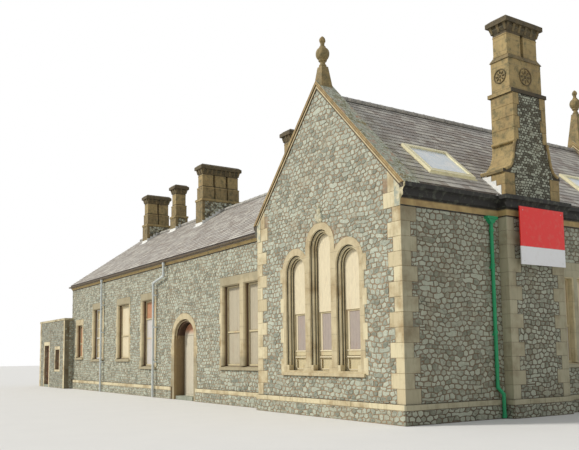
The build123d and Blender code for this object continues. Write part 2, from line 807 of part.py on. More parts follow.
def ridge_chimney(share, flues):
    """Ridge stack: rubble base, a pair of shaft stages for each flue and one corbelled cap."""
    width = flues * CHIMNEY_FLUE + (CHIMNEY_THICK - CHIMNEY_FLUE)
    root, string_top = RANGE_RIDGE - CHIMNEY_ROOT, RANGE_RIDGE + CHIMNEY_BASE
    shaft_foot = string_top + CHIMNEY_STAGE
    cap_foot = shaft_foot + CHIMNEY_SHAFT
    chimney = Pos(0, 0, (root + string_top) / 2) * Box(CHIMNEY_THICK, width, string_top - root)
    chimney += Pos(0, 0, string_top - STRING_HEIGHT / 2) * Box(
        CHIMNEY_THICK + STRING_OUT, width + STRING_OUT, STRING_HEIGHT
    )
    cap_width = (flues - 1) * CHIMNEY_FLUE + FLUE_WIDTH
    chimney += stepped_cap(FLUE_THICK, cap_width, cap_foot, CHIMNEY_CAP, CAP_OUT)
    for i in range(flues):
        place = (i - (flues - 1) / 2) * CHIMNEY_FLUE
        chimney += Pos(0, place, string_top + CHIMNEY_STAGE / 2) * Box(
            MID_THICK, FLUE_WIDTH + CHIMNEY_FLUTE, CHIMNEY_STAGE
        )
        shaft = Box(FLUE_THICK, FLUE_WIDTH, CHIMNEY_SHAFT)
        chimney += Pos(0, place, shaft_foot + CHIMNEY_SHAFT / 2) * shaft
        chimney -= flue_hole(place, cap_foot + CHIMNEY_CAP)
    reach = CHIMNEY_ROOT / RANGE_TAN
    roof = outline((-reach, root), (reach, root), (0, RANGE_RIDGE))
    chimney -= across_x(roof, -CHIMNEY_THICK, CHIMNEY_THICK)
    return Pos(along_range(share), RANGE_MIDDLE, 0) * chimney


def ridge_chimneys():
    return Compound(children=[
        ridge_chimney(share, flues) for share, flues in zip(CHIMNEY_SHARES, CHIMNEY_FLUES)
    ])


def sign_plate():
    """Plain plate on two battens that hold it clear of the cornice."""
    back = BREAST_FACE + CORNICE_OUT + 10
    plate = block(
        (back, back + SIGN_THICK),
        (BREAST_CENTRE - SIGN_WIDTH / 2, BREAST_CENTRE + SIGN_WIDTH / 2),
        (SIGN_FOOT, SIGN_FOOT + SIGN_HEIGHT),
    )
    for side in (-1, 1):
        y = BREAST_CENTRE + side * SIGN_WIDTH / 3
        for z in (SIGN_FOOT + 150, CORNICE_FOOT - 200):
            plate += block((BREAST_FACE, back), (y - 30, y + 30), (z, z + 60))
    return plate


def pipe(*points):
    """Pipe with a mitred bend at each point."""
    path = Polyline(*points)
    mouth = Plane(origin=path @ 0, z_dir=path % 0) * RegularPolygon(PIPE_RADIUS, PIPE_SIDES)
    return sweep(mouth, path=path, transition=Transition.RIGHT)


def wing_downpipe():
    """Downpipe with a hopper head, which kinks over the plinth at its foot."""
    y = BREAST_CENTRE - BREAST_WIDTH / 2 - PIPE_FROM_BREAST
    x = HALF + PIPE_OFF
    out = PLINTH_OUT + 10
    low = PLINTH_HEIGHT + PIPE_KNEE
    foot_y = y + 2 * out
    hopper_foot, rim_foot = CORNICE_FOOT - HOPPER_HEIGHT, CORNICE_FOOT - HOPPER_RIM
    body = pipe(
        (x, y, hopper_foot + HOPPER_LAP),
        (x, y, low + PIPE_SLOPE),
        (x + out, foot_y, low),
        (x + out, foot_y, PIPE_FOOT),
    )
    hopper = outline(
        (y - PIPE_RADIUS, hopper_foot),
        (y + PIPE_RADIUS, hopper_foot),
        (y + HOPPER_WIDTH / 2 - HOPPER_TAPER, rim_foot),
        (y - HOPPER_WIDTH / 2 + HOPPER_TAPER, rim_foot),
    )
    body += across_x(hopper, HALF, HALF + 2 * PIPE_OFF - 10)
    body += block(
        (HALF, HALF + 2 * PIPE_OFF), (y - HOPPER_WIDTH / 2, y + HOPPER_WIDTH / 2), (rim_foot, CORNICE_FOOT)
    )
    for z in WING_BRACKETS:
        body += block((HALF, x), (y - BRACKET, y + BRACKET), (z, z + BRACKET_HEIGHT))
    return body


def wing_keep_out():
    """Space taken by the wing, which the range's pieces are fitted to."""
    edge = HALF + WING_ROOF_EDGE
    profile = outline(
        (0, 0),
        (-HALF, 0),
        (-HALF, CORNICE_FOOT),
        (-edge, CORNICE_FOOT),
        (-edge, wing_top(edge)),
        (0, WING_RIDGE),
    )
    kneeler = block(
        (-HALF - CORNICE_OUT - FIT, -HALF),
        (FRONT - COPING_OUT, FRONT + PARAPET),
        (CORNICE_FOOT, coping_top(HALF)),
    )
    rear_run = block((-HALF - CORNICE_OUT, -HALF), (RANGE_REAR, REAR), (CORNICE_FOOT, CORNICE_TOP))
    return across_y(profile, FRONT - COPING_OUT, REAR + COPING_OUT) + kneeler + rear_run


def range_windows():
    """Centre, width, foot, head and mullion of each window of the range's front, in its local X."""
    rows = [(along_range(share), *size, 0) for share, size in zip(WINDOW_SHARES, WINDOW_SIZES)]
    return rows + [(along_range(TWO_LIGHT_SHARE), *TWO_LIGHT_SIZE, TWO_LIGHT_MULLION)]


def all_range_windows():
    """Each window with its face; the rear wall repeats the front's, less the small one at the end."""
    front = [(RANGE_FRONT_FACE, *row) for row in range_windows()]
    rear = [(RANGE_REAR_FACE, -row[0], *row[1:]) for row in range_windows()[1:]]
    return front, rear


def door_face(grow, foot=0):
    return arch_face(0, DOOR_WIDTH + 2 * grow, foot, DOOR_SPRING, DOOR_CROWN + grow)


def doorway_cut():
    """Hole in a range wall for the arched doorway and its surround."""
    depth = SURROUND_DEPTH + DOOR_REVEAL - REVEAL
    inner = rect_face(0, DOOR_WIDTH - (DOOR_ORDERS - 1) * 2 * DOOR_ORDER, 0, DOOR_CROWN)
    return across_y(door_face(DOOR_SURROUND), 0, depth) + across_y(inner, depth, WALL)


def long_wall(windows, flip):
    """Range wall up to its eaves course, with its window holes and doorway."""
    face = windows[0][0]
    middle = flip * (RANGE_LEFT + RANGE_RIGHT) / 2
    wall = across_y(rect_face(middle, RANGE_LENGTH, PLINTH_HEIGHT, EAVES_FOOT), 0, WALL)
    for _, centre, width, foot, head, _ in windows:
        wall -= window_cut(centre, width, foot, head, WALL)
    wall -= Pos(flip * along_range(DOOR_SHARE), 0, 0) * doorway_cut()
    return face * wall - wing_keep_out()


def range_front_wall():
    return long_wall(all_range_windows()[0], 1)


def range_rear_wall():
    return long_wall(all_range_windows()[1], -1)


def range_end_wall():
    """Gable that closes the range's far end, up to the underside of the slates."""
    inner_front, inner_rear = RANGE_FRONT + WALL, RANGE_REAR - WALL
    face = outline(
        (inner_front, PLINTH_HEIGHT),
        (inner_rear, PLINTH_HEIGHT),
        (inner_rear, range_under(inner_rear)),
        (RANGE_MIDDLE, range_under(RANGE_MIDDLE)),
        (inner_front, range_under(inner_front)),
    )
    return across_x(face, RANGE_LEFT, RANGE_LEFT + WALL)


def eaves_course(front):
    """Moulded stone course on the wall head, cut to the slope of the roof above."""
    y = RANGE_FRONT
    start = Polyline((y + WALL, EAVES_FOOT), (y, EAVES_FOOT), (y - EAVES_OUT / 3, EAVES_FOOT))
    curve = ThreePointArc(
        (y - EAVES_OUT / 3, EAVES_FOOT),
        (y - 0.45 * EAVES_OUT, EAVES_FOOT + EAVES_HOLLOW),
        (y - EAVES_OUT, EAVES_FOOT + EAVES_LIP),
    )
    rest = Polyline(
        (y - EAVES_OUT, EAVES_FOOT + EAVES_LIP),
        (y - EAVES_OUT, range_under(y - EAVES_OUT)),
        (y + WALL, range_under(y + WALL)),
        (y + WALL, EAVES_FOOT),
    )
    course = across_x(make_face(start + curve + rest), RANGE_LEFT, RANGE_RIGHT)
    if not front:
        course = mirror(course, about=Plane(origin=(0, RANGE_MIDDLE, 0), z_dir=(0, 1, 0)))
    return course - wing_keep_out()


def range_eaves():
    return Compound(children=[eaves_course(True), eaves_course(False)])


def range_roof(front):
    """One slope of the range's roof, which dies into the wing's left slope at a valley."""
    edge = RANGE_FRONT - ROOF_OVERHANG
    slope = outline(
        (RANGE_MIDDLE, RANGE_RIDGE),
        (edge, range_top(edge)),
        (edge, range_under(edge)),
        (RANGE_MIDDLE, range_under(RANGE_MIDDLE)),
    )
    roof = across_x(slope, RANGE_LEFT - VERGE_OUT, 0)
    if not front:
        roof = mirror(roof, about=Plane(origin=(0, RANGE_MIDDLE, 0), z_dir=(0, 1, 0)))
    return roof - wing_keep_out()


def range_ridge():
    """Ridge roll of the range, in the stretches between the chimneys."""
    section = ridge_section(RANGE_RIDGE, RANGE_TAN)
    whole = Rot(0, 0, 90) * across_y(section, 0, RANGE_LENGTH + VERGE_OUT + HALF)
    ridge = Pos(0, RANGE_MIDDLE, 0) * whole - wing_keep_out()
    room = 4 * RIDGE_WING
    for share in CHIMNEY_SHARES:
        ridge -= Pos(along_range(share), RANGE_MIDDLE, RANGE_RIDGE) * Box(CHIMNEY_THICK, room, room)
    return ridge


def gutter_centre():
    """Depth and height of the front gutter's axis, which lies along its rim."""
    edge = RANGE_FRONT - ROOF_OVERHANG
    return edge - GUTTER_RADIUS, range_top(edge) - GUTTER_DROP


def range_gutters():
    """Half-round gutters against the roofs' edges, closed at both ends."""
    radius = GUTTER_RADIUS
    y, z = gutter_centre()
    upper_half = Pos(0, radius) * Rectangle(4 * radius, 2 * radius)
    trough = Circle(radius) - Circle(radius - GUTTER_SKIN) - upper_half
    stop = HALF + CORNICE_OUT
    gutter = across_x(Pos(y, z) * trough, RANGE_LEFT - VERGE_OUT, -stop)
    plate = Circle(radius) - upper_half
    for x in (RANGE_LEFT - VERGE_OUT, -stop - GUTTER_SKIN):
        gutter += across_x(Pos(y, z) * plate, x, x + GUTTER_SKIN)
    other = mirror(gutter, about=Plane(origin=(0, RANGE_MIDDLE, 0), z_dir=(0, 1, 0)))
    return Compound(children=[gutter, other])


def range_window_surrounds():
    return Compound(children=[
        face * window_surround(centre, width, foot, head, mullion)
        for group in all_range_windows()
        for face, centre, width, foot, head, mullion in group
    ])


def range_window_boards():
    """Boards and sashes that close the range's windows."""
    boards = []
    for group in all_range_windows():
        for face, centre, width, foot, head, mullion in group:
            places = lights(centre, width, mullion) if mullion else [(centre, width)]
            rail = foot + 0.42 * (head - foot)
            for place, light in places:
                boards.append(face * boarded_sash(place, light, foot, head, rail))
    return Compound(children=boards)


def door_surround():
    """Arched surround whose concentric orders step in to the boarded doorway."""
    depth = SURROUND_DEPTH + DOOR_REVEAL - REVEAL
    frame = across_y(door_face(DOOR_SURROUND), -SURROUND_PROUD, depth)
    for i in range(DOOR_ORDERS):
        start = -SURROUND_PROUD if i == 0 else i * DOOR_REVEAL / DOOR_ORDERS / 2
        frame -= across_y(door_face(-i * DOOR_ORDER), start, depth)
    return frame


def both_doorways(solid):
    """Place a solid drawn about a doorway's centre line in the front doorway and in the rear one."""
    centre = along_range(DOOR_SHARE)
    front = RANGE_FRONT_FACE * (Pos(centre, 0, 0) * solid)
    rear = RANGE_REAR_FACE * (Pos(-centre, 0, 0) * solid)
    return Compound(children=[front, rear])


def door_board():
    """Fixed boarding that closes an arched doorway, panelled behind its frame."""
    grow = -(DOOR_ORDERS - 1) * DOOR_ORDER - FIT
    board = across_y(door_face(grow, FLOOR), DOOR_REVEAL, DOOR_REVEAL + SASH_DEPTH)
    panel = rect_face(0, DOOR_WIDTH + 2 * grow - 2 * SASH, FLOOR + SASH, DOOR_SPRING)
    return board - across_y(panel, DOOR_REVEAL, DOOR_REVEAL + SASH_DEPTH - BOARD)


def range_downpipe(share, width, shift):
    """Downpipe before a window's jamb, fed from a gutter outlet that may stand off to its right."""
    x = along_range(share) + width / 2 + JAMB + PIPE_FROM_JAMB
    y, rim = gutter_centre()
    top = rim - GUTTER_RADIUS
    bend = top - PIPE_DROP
    points = [(x + shift, y, top), (x, y, PIPE_FOOT)]
    if shift:
        points[1:1] = [(x + shift, y, bend), (x, y, bend - PIPE_FALL)]
    body = pipe(*points)
    for z in RANGE_BRACKETS:
        body += block((x, x + 2 * BRACKET), (y, RANGE_FRONT), (z, z + BRACKET_HEIGHT))
    return body


def range_downpipes():
    """One downpipe beside the second window, and one that swan-necks past the doorway."""
    return Compound(children=[
        range_downpipe(WINDOW_SHARES[1], WINDOW_SIZES[1][0], 0),
        range_downpipe(WINDOW_SHARES[3], WINDOW_SIZES[3][0], PIPE_SHIFT),
    ])


def plinth():
    """Plinth course under every wall of the wing, range and breast, open at the two doorways."""
    height = (0, PLINTH_HEIGHT)
    out = PLINTH_OUT
    ring = block((-HALF - out, HALF + out), (FRONT - out, REAR + out), height)
    ring += block((RANGE_LEFT - out, RANGE_RIGHT), (RANGE_FRONT - out, RANGE_REAR + out), height)
    near, far = BREAST_CENTRE - BREAST_WIDTH / 2 - out, BREAST_CENTRE + BREAST_WIDTH / 2 + out
    ring += block((HALF, BREAST_FACE + out), (near, far), height)
    ring -= block((WALL - HALF, HALF - WALL), (FRONT + WALL, REAR - WALL), height)
    ring -= block((RANGE_LEFT + WALL, RANGE_RIGHT), (RANGE_FRONT + WALL, RANGE_REAR - WALL), height)
    ring -= block((ANNEXE_LEFT, ANNEXE_RIGHT), (ANNEXE_FRONT, RANGE_FRONT), height)
    ring -= block((ANNEXE_LEFT, RANGE_LEFT), (RANGE_FRONT, ANNEXE_REAR), height)
    half = DOOR_WIDTH / 2 + DOOR_SURROUND
    door = along_range(DOOR_SHARE)
    for y in ((RANGE_FRONT - out, RANGE_FRONT + WALL), (RANGE_REAR - WALL, RANGE_REAR + out)):
        ring -= block((door - half, door + half), y, height)
    return ring


def floors():
    """Stone floors, level with the thresholds, with a tongue through each doorway."""
    height = (0, FLOOR)
    wing = block((WALL - HALF, HALF - WALL), (FRONT + WALL, REAR - WALL), height)
    hall = block((RANGE_LEFT + WALL, RANGE_RIGHT), (RANGE_FRONT + WALL, RANGE_REAR - WALL), height)
    door, half = along_range(DOOR_SHARE), DOOR_WIDTH / 2 - (DOOR_ORDERS - 1) * DOOR_ORDER
    hall += block((door - half, door + half), (RANGE_FRONT, RANGE_REAR), height)
    store = (ANNEXE_LEFT + ANNEXE_WALL, RANGE_LEFT)
    annexe = block(store, (RANGE_FRONT, ANNEXE_REAR - ANNEXE_WALL), height)
    annexe += block(annexe_door_edges(), (ANNEXE_FRONT, RANGE_FRONT), height)
    return Compound(children=[wing, hall, annexe])


def side_windows():
    """Face and centre of each two-light window of the wing."""
    return [(SIDE_FACE, centre) for centre in side_window_centres()] + [(REAR_FACE, 0)]


def wing_window_surrounds():
    heights, mullion = (SIDE_WINDOW_FOOT, SIDE_WINDOW_HEAD), SIDE_WINDOW_MULLION
    return Compound(children=[
        face * window_surround(centre, SIDE_WINDOW_WIDTH, *heights, mullion, SIDE_WINDOW_LINTEL)
        for face, centre in side_windows()
    ])


def wing_window_boards():
    boards = []
    rail = SIDE_WINDOW_FOOT + 0.435 * (SIDE_WINDOW_HEAD - SIDE_WINDOW_FOOT)
    for face, centre in side_windows():
        for place, light in lights(centre, SIDE_WINDOW_WIDTH, SIDE_WINDOW_MULLION):
            boards.append(face * boarded_sash(place, light, SIDE_WINDOW_FOOT, SIDE_WINDOW_HEAD, rail))
    return Compound(children=boards)


def annexe_door_edges():
    return ANNEXE_DOOR - ANNEXE_DOOR_WIDTH / 2, ANNEXE_DOOR + ANNEXE_DOOR_WIDTH / 2


def annexe_window_face():
    return rect_face(ANNEXE_WINDOW, ANNEXE_WINDOW_WIDTH, ANNEXE_WINDOW_FOOT, ANNEXE_WINDOW_HEAD)


def annexe_front_wall():
    """Front wall to the right of the doorway, with the small window cut through."""
    _, right = annexe_door_edges()
    wall = block((right, ANNEXE_RIGHT), (ANNEXE_FRONT, RANGE_FRONT), (0, ANNEXE_HEIGHT - ANNEXE_COPING))
    return wall - ANNEXE_FACE * across_y(annexe_window_face(), 0, ANNEXE_STEP)


def annexe_over_door():
    height = (ANNEXE_DOOR_HEAD, ANNEXE_HEIGHT - ANNEXE_COPING)
    return block(annexe_door_edges(), (ANNEXE_FRONT, RANGE_FRONT), height)


def annexe_outer_walls():
    """Front stub beside the doorway, the end wall and the rear wall, as one run of masonry."""
    left, _ = annexe_door_edges()
    height = (0, ANNEXE_HEIGHT - ANNEXE_COPING)
    wall = block((ANNEXE_LEFT, left), (ANNEXE_FRONT, RANGE_FRONT), height)
    wall += block((ANNEXE_LEFT, ANNEXE_LEFT + ANNEXE_WALL), (RANGE_FRONT, ANNEXE_REAR), height)
    wall += block((ANNEXE_LEFT, RANGE_LEFT), (ANNEXE_REAR - ANNEXE_WALL, ANNEXE_REAR), height)
    return wall


def annexe_roof():
    """Lean-to roof behind the parapets, falling away from the range."""
    low_x, high_x = ANNEXE_LEFT + ANNEXE_WALL, RANGE_LEFT
    low, high = ANNEXE_ROOF_HIGH - ANNEXE_ROOF_FALL, ANNEXE_ROOF_HIGH
    face = outline((low_x, low), (high_x, high), (high_x, high - ROOF_THICK), (low_x, low - ROOF_THICK))
    return across_y(face, RANGE_FRONT, ANNEXE_REAR - ANNEXE_WALL)


def annexe_coping():
    """Flat coping on the annexe's parapets."""
    height = (ANNEXE_HEIGHT - ANNEXE_COPING, ANNEXE_HEIGHT)
    out = ANNEXE_COPING_OUT
    top = block((ANNEXE_LEFT - out, ANNEXE_RIGHT + out), (ANNEXE_FRONT - out, RANGE_FRONT), height)
    top += block((ANNEXE_LEFT - out, ANNEXE_LEFT + ANNEXE_WALL), (RANGE_FRONT, ANNEXE_REAR + out), height)
    top += block((ANNEXE_LEFT - out, RANGE_LEFT), (ANNEXE_REAR - ANNEXE_WALL, ANNEXE_REAR + out), height)
    return top


def annexe_window_board():
    return ANNEXE_FACE * across_y(annexe_window_face(), REVEAL, REVEAL + BOARD)


def hinge_axis():
    """Plan place of the annexe door's hinge pins."""
    left, _ = annexe_door_edges()
    return left + DOOR_GAP + HINGE_IN, ANNEXE_FRONT + LEAF_DEPTH + LEAF + KNUCKLE_RADIUS


def hinge_heights():
    return FLOOR + HINGE_LOW, ANNEXE_DOOR_HEAD - HINGE_HIGH


def annexe_door():
    """Plank door on three ledges, with a knuckle over each pintle."""
    left, right = annexe_door_edges()
    y, back = ANNEXE_FRONT + LEAF_DEPTH, ANNEXE_FRONT + LEAF_DEPTH + LEAF
    foot, head = FLOOR + DOOR_GAP, ANNEXE_DOOR_HEAD - DOOR_GAP
    leaf = block((left + DOOR_GAP, right - DOOR_GAP), (y, back), (foot, head))
    for z in (foot + LEDGE_IN, (foot + head - LEDGE_HEIGHT) / 2, head - LEDGE_IN - LEDGE_HEIGHT):
        leaf += block((left + LEDGE_SIDE, right - LEDGE_SIDE), (back, back + LEDGE), (z, z + LEDGE_HEIGHT))
    x, pin_y = hinge_axis()
    for z in hinge_heights():
        leaf += Pos(x, pin_y, z + KNUCKLE_HEIGHT / 2) * Cylinder(KNUCKLE_RADIUS, KNUCKLE_HEIGHT)
        leaf += block((x, x + STRAP), (back, pin_y), (z, z + KNUCKLE_HEIGHT))
    return leaf


def annexe_pintles():
    """Two iron pintles let into the jamb, one under each knuckle."""
    left, _ = annexe_door_edges()
    x, y = hinge_axis()
    half = PINTLE_ARM / 2
    pintles = []
    for z in hinge_heights():
        top = z - HINGE_GAP
        post = Pos(x, y, top - KNUCKLE_HEIGHT / 2) * Cylinder(KNUCKLE_RADIUS, KNUCKLE_HEIGHT)
        pintles.append(post + block((left, x), (y - half, y + half), (top - KNUCKLE_HEIGHT, top)))
    return Compound(children=pintles)


NODES = {
    "wing_front_wall": front_wall,
    "wing_rear_wall": rear_wall,
    "wing_right_wall": right_wall,
    "wing_left_wall": left_wall,
    "wing_roof_right": lambda: wing_roof(1),
    "wing_roof_left": lambda: wing_roof(-1),
    "wing_ridge": wing_ridge,
    "gable_copings": gable_copings,
    "finials": finials,
    "wing_cornices": wing_cornices,
    "lancet_surround": lambda: FRONT_FACE * lancet_surround(),
    "lancet_boards": lancet_boards,
    "wing_window_surrounds": wing_window_surrounds,
    "wing_window_boards": wing_window_boards,
    "chimney_breast": chimney_breast,
    "stack_base": stack_base,
    "stack_shaft": stack_shaft,
    "stack_cap": stack_cap,
    "sign_plate": sign_plate,
    "skylight_frames": skylight_frames,
    "skylight_panes": skylight_panes,
    "wing_downpipe": wing_downpipe,
    "range_front_wall": range_front_wall,
    "range_rear_wall": range_rear_wall,
    "range_end_wall": range_end_wall,
    "range_roof_front": lambda: range_roof(True),
    "range_roof_rear": lambda: range_roof(False),
    "range_ridge": range_ridge,
    "range_eaves": range_eaves,
    "range_gutters": range_gutters,
    "ridge_chimneys": ridge_chimneys,
    "range_window_surrounds": range_window_surrounds,
    "range_window_boards": range_window_boards,
    "door_surrounds": lambda: both_doorways(door_surround()),
    "door_boards": lambda: both_doorways(door_board()),
    "range_downpipes": range_downpipes,
    "plinth": plinth,
    "floors": floors,
    "annexe_front_wall": annexe_front_wall,
    "annexe_over_door": annexe_over_door,
    "annexe_outer_walls": annexe_outer_walls,
    "annexe_roof": annexe_roof,
    "annexe_coping": annexe_coping,
    "annexe_window_board": annexe_window_board,
    "annexe_pintles": annexe_pintles,
    "annexe_door": annexe_door,
}

os.makedirs("parts", exist_ok=True)
for name, make in NODES.items():
    export_step(make(), f"parts/{name}.step")
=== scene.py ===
"""Looks of a disused stone railway station: rubble, ashlar, slates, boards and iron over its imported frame."""

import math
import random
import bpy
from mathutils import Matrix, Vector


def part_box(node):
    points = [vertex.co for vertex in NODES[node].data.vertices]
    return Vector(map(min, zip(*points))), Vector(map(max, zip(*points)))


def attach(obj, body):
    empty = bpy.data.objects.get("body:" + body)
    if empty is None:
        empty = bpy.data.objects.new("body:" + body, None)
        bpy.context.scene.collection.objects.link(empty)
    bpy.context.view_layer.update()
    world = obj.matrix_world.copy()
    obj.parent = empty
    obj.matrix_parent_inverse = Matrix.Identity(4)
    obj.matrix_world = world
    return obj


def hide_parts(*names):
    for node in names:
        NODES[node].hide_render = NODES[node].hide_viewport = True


bl_info = {
    "name": "Station building looks",
    "version": (1, 0, 0),
    "blender": (4, 5, 0),
    "location": "View3D > Sidebar > Station",
    "description": "Stones, slates, joinery, ironwork and finishes of a stone station building",
    "category": "Object",
}

import bmesh
import bpy
from bpy.props import FloatProperty, FloatVectorProperty, PointerProperty
from mathutils import Matrix, Vector, noise

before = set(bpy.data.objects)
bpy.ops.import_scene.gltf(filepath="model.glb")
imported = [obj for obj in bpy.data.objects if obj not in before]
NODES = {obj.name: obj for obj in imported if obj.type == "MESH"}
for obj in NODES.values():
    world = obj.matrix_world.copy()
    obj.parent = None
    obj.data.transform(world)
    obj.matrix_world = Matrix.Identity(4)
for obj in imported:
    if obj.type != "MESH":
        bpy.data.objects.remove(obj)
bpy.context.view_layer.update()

# Without a seed of its own the noise field differs from run to run
NOISE_SEED = 7
noise.seed_set(NOISE_SEED)

# Main planes of the building, in metres
HALF = 3.5
FRONT, REAR = -0.3, 12.2
PLINTH_TOP, CORNICE_FOOT, CORNICE_TOP = 0.5, 5.43, 6.0
WING_RIDGE, WING_PITCH = 9.375, math.radians(42.55)
COPING_APEX, COPING_PITCH, COPING_FACE = 9.8, math.radians(45.7), 0.27
RANGE_FRONT, RANGE_REAR, RANGE_MIDDLE = 0.144, 8.544, 4.344
RANGE_LEFT, RANGE_RIDGE, RANGE_PITCH = -25.52, 8.89, math.radians(34.7)
EAVES_FOOT, EAVES_EDGE = 5.61, 0.054
GUTTER_Y, GUTTER_Z = -0.011, 5.819
ANNEXE_FRONT, ANNEXE_REAR = -0.35, 4.95
ANNEXE_LEFT, ANNEXE_RIGHT, ANNEXE_TOP = -30.6, -25.24, 3.9
BREAST_FACE, BREAST_NEAR, BREAST_FAR = 3.79, 3.25, 5.59
STACK_BACK, STACK_X, STACK_Y = 2.97, 3.38, 4.42
SHOULDER, SHAFT_FOOT, SHAFT_TOP, STAGE_FOOT, STAGE_TOP = 6.68, 7.68, 9.04, 9.15, 10.08
FLUE_FOOT, CAP_FOOT = 10.22, 10.91
RIDGE_BASE_TOP, RIDGE_STAGE_TOP, RIDGE_CAP_FOOT = 9.48, 10.085, 10.74
FLUE_THICK, FLUE_WIDTH, FLUE_PITCH = 0.5, 0.58, 0.7

# Windows of the range: centre, width, foot, head and mullion
WINDOWS = [
    (-24.045, 0.95, 1.78, 3.54, 0),
    (-20.9, 1.45, 1.685, 4.27, 0),
    (-17.13, 1.45, 1.685, 4.27, 0),
    (-13.964, 1.43, 1.35, 4.27, 0),
    (-5.4, 2.8, 1.39, 4.27, 0.34),
]
DOOR_X, DOOR_HALF, DOOR_SPRING, DOOR_CROWN = -10.174, 0.925, 2.6, 3.25
SIDE_WINDOWS = (6.5, 9.6)
STORE_DOOR, STORE_WINDOW = (-29.5, -28.5, 0, 2.5), (-27.1, -26.3, 1.07, 2.23)
SIDE_WINDOW = (1.4, 1.44, 3.9, 0.24)
LANCETS = [(-1.287, 4.74), (0.002, 5.35), (1.291, 4.74)]
LANCET_HALF, LANCET_FOOT, SURROUND = 0.5185, 1.29, 0.2
CHIMNEYS = [(-23.199, 2), (-20.0, 1), (-15.261, 3), (-8.351, 1)]
SKYLIGHTS, SKYLIGHT = (1.11, 8.0), (1.7, 2.72, 1.5)

# Half widths of the stack's base and shaft, and the outline of its scrolls: out from the middle, and height
BASE_HALF, SHAFT_HALF = 1.15, 0.69
SCROLL = [(0.72, 7.62), (0.775, 7.46), (0.8, 7.29), (0.822, 7.16), (0.868, 7.0), (0.95, 6.87), (1.06, 6.8),
          (1.14, 6.77)]

# Roll mouldings of a gable light: half width, depth, radius and sides
LANCET_ROLLS = [(0.5235, 0.012, 0.017, 8), (0.4485, 0.083, 0.017, 8), (0.4105, 0.155, 0.017, 8),
                (0.475, 0.06, 0.01, 6)]

# Turned parts of a finial, as radius and height from the foot, from the ball's underside and from its top
FINIAL_FOOT = [(0, -0.01), (0.1, -0.01), (0.112, 0.012), (0.115, 0.035), (0.112, 0.058), (0.1, 0.07),
               (0.082, 0.09), (0.078, 0.13)]
FINIAL_NECK = [(0.088, -0.07), (0.12, -0.058), (0.13, -0.035), (0.128, -0.012), (0.118, 0)]
FINIAL_BUD = [(0.118, 0), (0.1, 0.03), (0.094, 0.056), (0.068, 0.066), (0.062, 0.12), (0.068, 0.172),
              (0.09, 0.205), (0.1, 0.245), (0.088, 0.3), (0.05, 0.35), (0.018, 0.378), (0, 0.383)]

# Bed joints, kneelers, lintels and sills, boards, planks, ridge tiles and the line between the sign's fields
BED = 0.003
KNEELER = 2.86
LINTEL, SILL = 0.33, 0.15
BOARD_FOOT = 3.0
PLANK_BACK = -0.23
RIDGE_TILE = 0.45
SIGN_SPLIT = 4.6


def sheet_colour(red, green, blue):
    """Linear colour of a paint card read as 8-bit values."""
    def linear(value):
        value /= 255
        return value / 12.92 if value <= 0.04045 else ((value + 0.055) / 1.055) ** 2.4
    return linear(red), linear(green), linear(blue)


def swatch(name, note, red, green, blue):
    return FloatVectorProperty(
        name=name, description=note, default=sheet_colour(red, green, blue), subtype="COLOR", size=3, min=0,
        max=1,
    )


def length(name, note, value):
    return FloatProperty(name=name, description=note, default=value, min=0, unit="LENGTH")


class StationSizes(bpy.types.PropertyGroup):
    """Sizes of the stones, slates and boards."""

    stone_length: length("Stone length", "Usual length of a rubble stone", 0.2)
    stone_height: length("Stone height", "Usual height of a rubble stone", 0.125)
    mortar: length("Mortar", "Width of the joints between rubble stones", 0.02)
    stone_proud: length("Stone relief", "How far the proudest rubble stands from its joints", 0.014)
    quoin_height: length("Quoin height", "Height of each corner block", 0.372)
    quoin_long: length("Long quoin", "Length of the long corner blocks", 0.56)
    quoin_short: length("Short quoin", "Length of the short corner blocks", 0.3)
    slate_width: length("Slate width", "Width of a roof slate", 0.28)
    slate_gauge: length("Slate gauge", "Exposed height of a course of slates", 0.225)
    plank: length("Plank", "Width of the planks that close the windows", 0.15)


class StationColours(bpy.types.PropertyGroup):
    """Colours of the finishes."""

    stone_pale: swatch("Pale rubble", "Palest of the rubble stones", 188, 193, 174)
    stone_mid: swatch("Grey-green rubble", "Most of the rubble stones", 160, 164, 147)
    stone_dark: swatch("Dark rubble", "Darkest of the rubble stones", 122, 126, 110)
    mortar: swatch("Mortar", "Brown lime mortar", 146, 122, 94)
    sandstone: swatch("Sandstone", "Buff dressed stone", 216, 204, 168)
    sandstone_gold: swatch("Golden sandstone", "Orange-brown stone of the chimneys and coping", 184, 160, 108)
    sandstone_brown: swatch("Stained sandstone", "Brown stains on the dressed stone", 148, 122, 80)
    # Near black for sooty dirt and for painted shade: shadow lines, black reveals and shaded sides
    soot_and_shade: swatch("Soot", "Blackened mouldings", 26, 24, 19)
    lichen: swatch("Lichen", "Green-brown growth on the coping", 118, 112, 76)
    slate: swatch("Slate", "Grey slates", 166, 161, 154)
    slate_pale: swatch("Pale slate", "Palest slates and their worn edges", 202, 197, 184)
    slate_warm: swatch("Warm slate", "Brownish slates", 138, 124, 112)
    ridge_tile: swatch("Ridge tile", "Grey ridge tiles", 132, 130, 126)
    cream_board: swatch("Cream board", "Painted boards in the gable lights", 232, 219, 186)
    grey_board: swatch("Grey board", "Weathered boards", 190, 180, 156)
    frame_timber: swatch("Sash timber", "Pale old paint on sashes and frames", 214, 200, 160)
    rust: swatch("Rust stain", "Orange and red-brown stains", 176, 108, 66)
    door_paint_and_reveal_shade: swatch("Door paint", "Brown paint of the store's door", 112, 70, 48)
    white_paint: swatch("White paint", "White sashes and lead", 236, 234, 228)
    green_iron: swatch("Green iron", "Green rainwater pipe", 30, 150, 96)
    grey_iron: swatch("Grey iron", "Pale rainwater pipes", 206, 212, 210)
    gutter_iron: swatch("Gutter iron", "Rusted gutters", 104, 90, 68)
    sign_red: swatch("Sign red", "Upper field of the plain sign", 238, 30, 22)
    sign_white: swatch("Sign white", "Lower field of the plain sign", 238, 238, 238)
    ground: swatch("Studio floor", "Plain pale floor", 226, 225, 222)


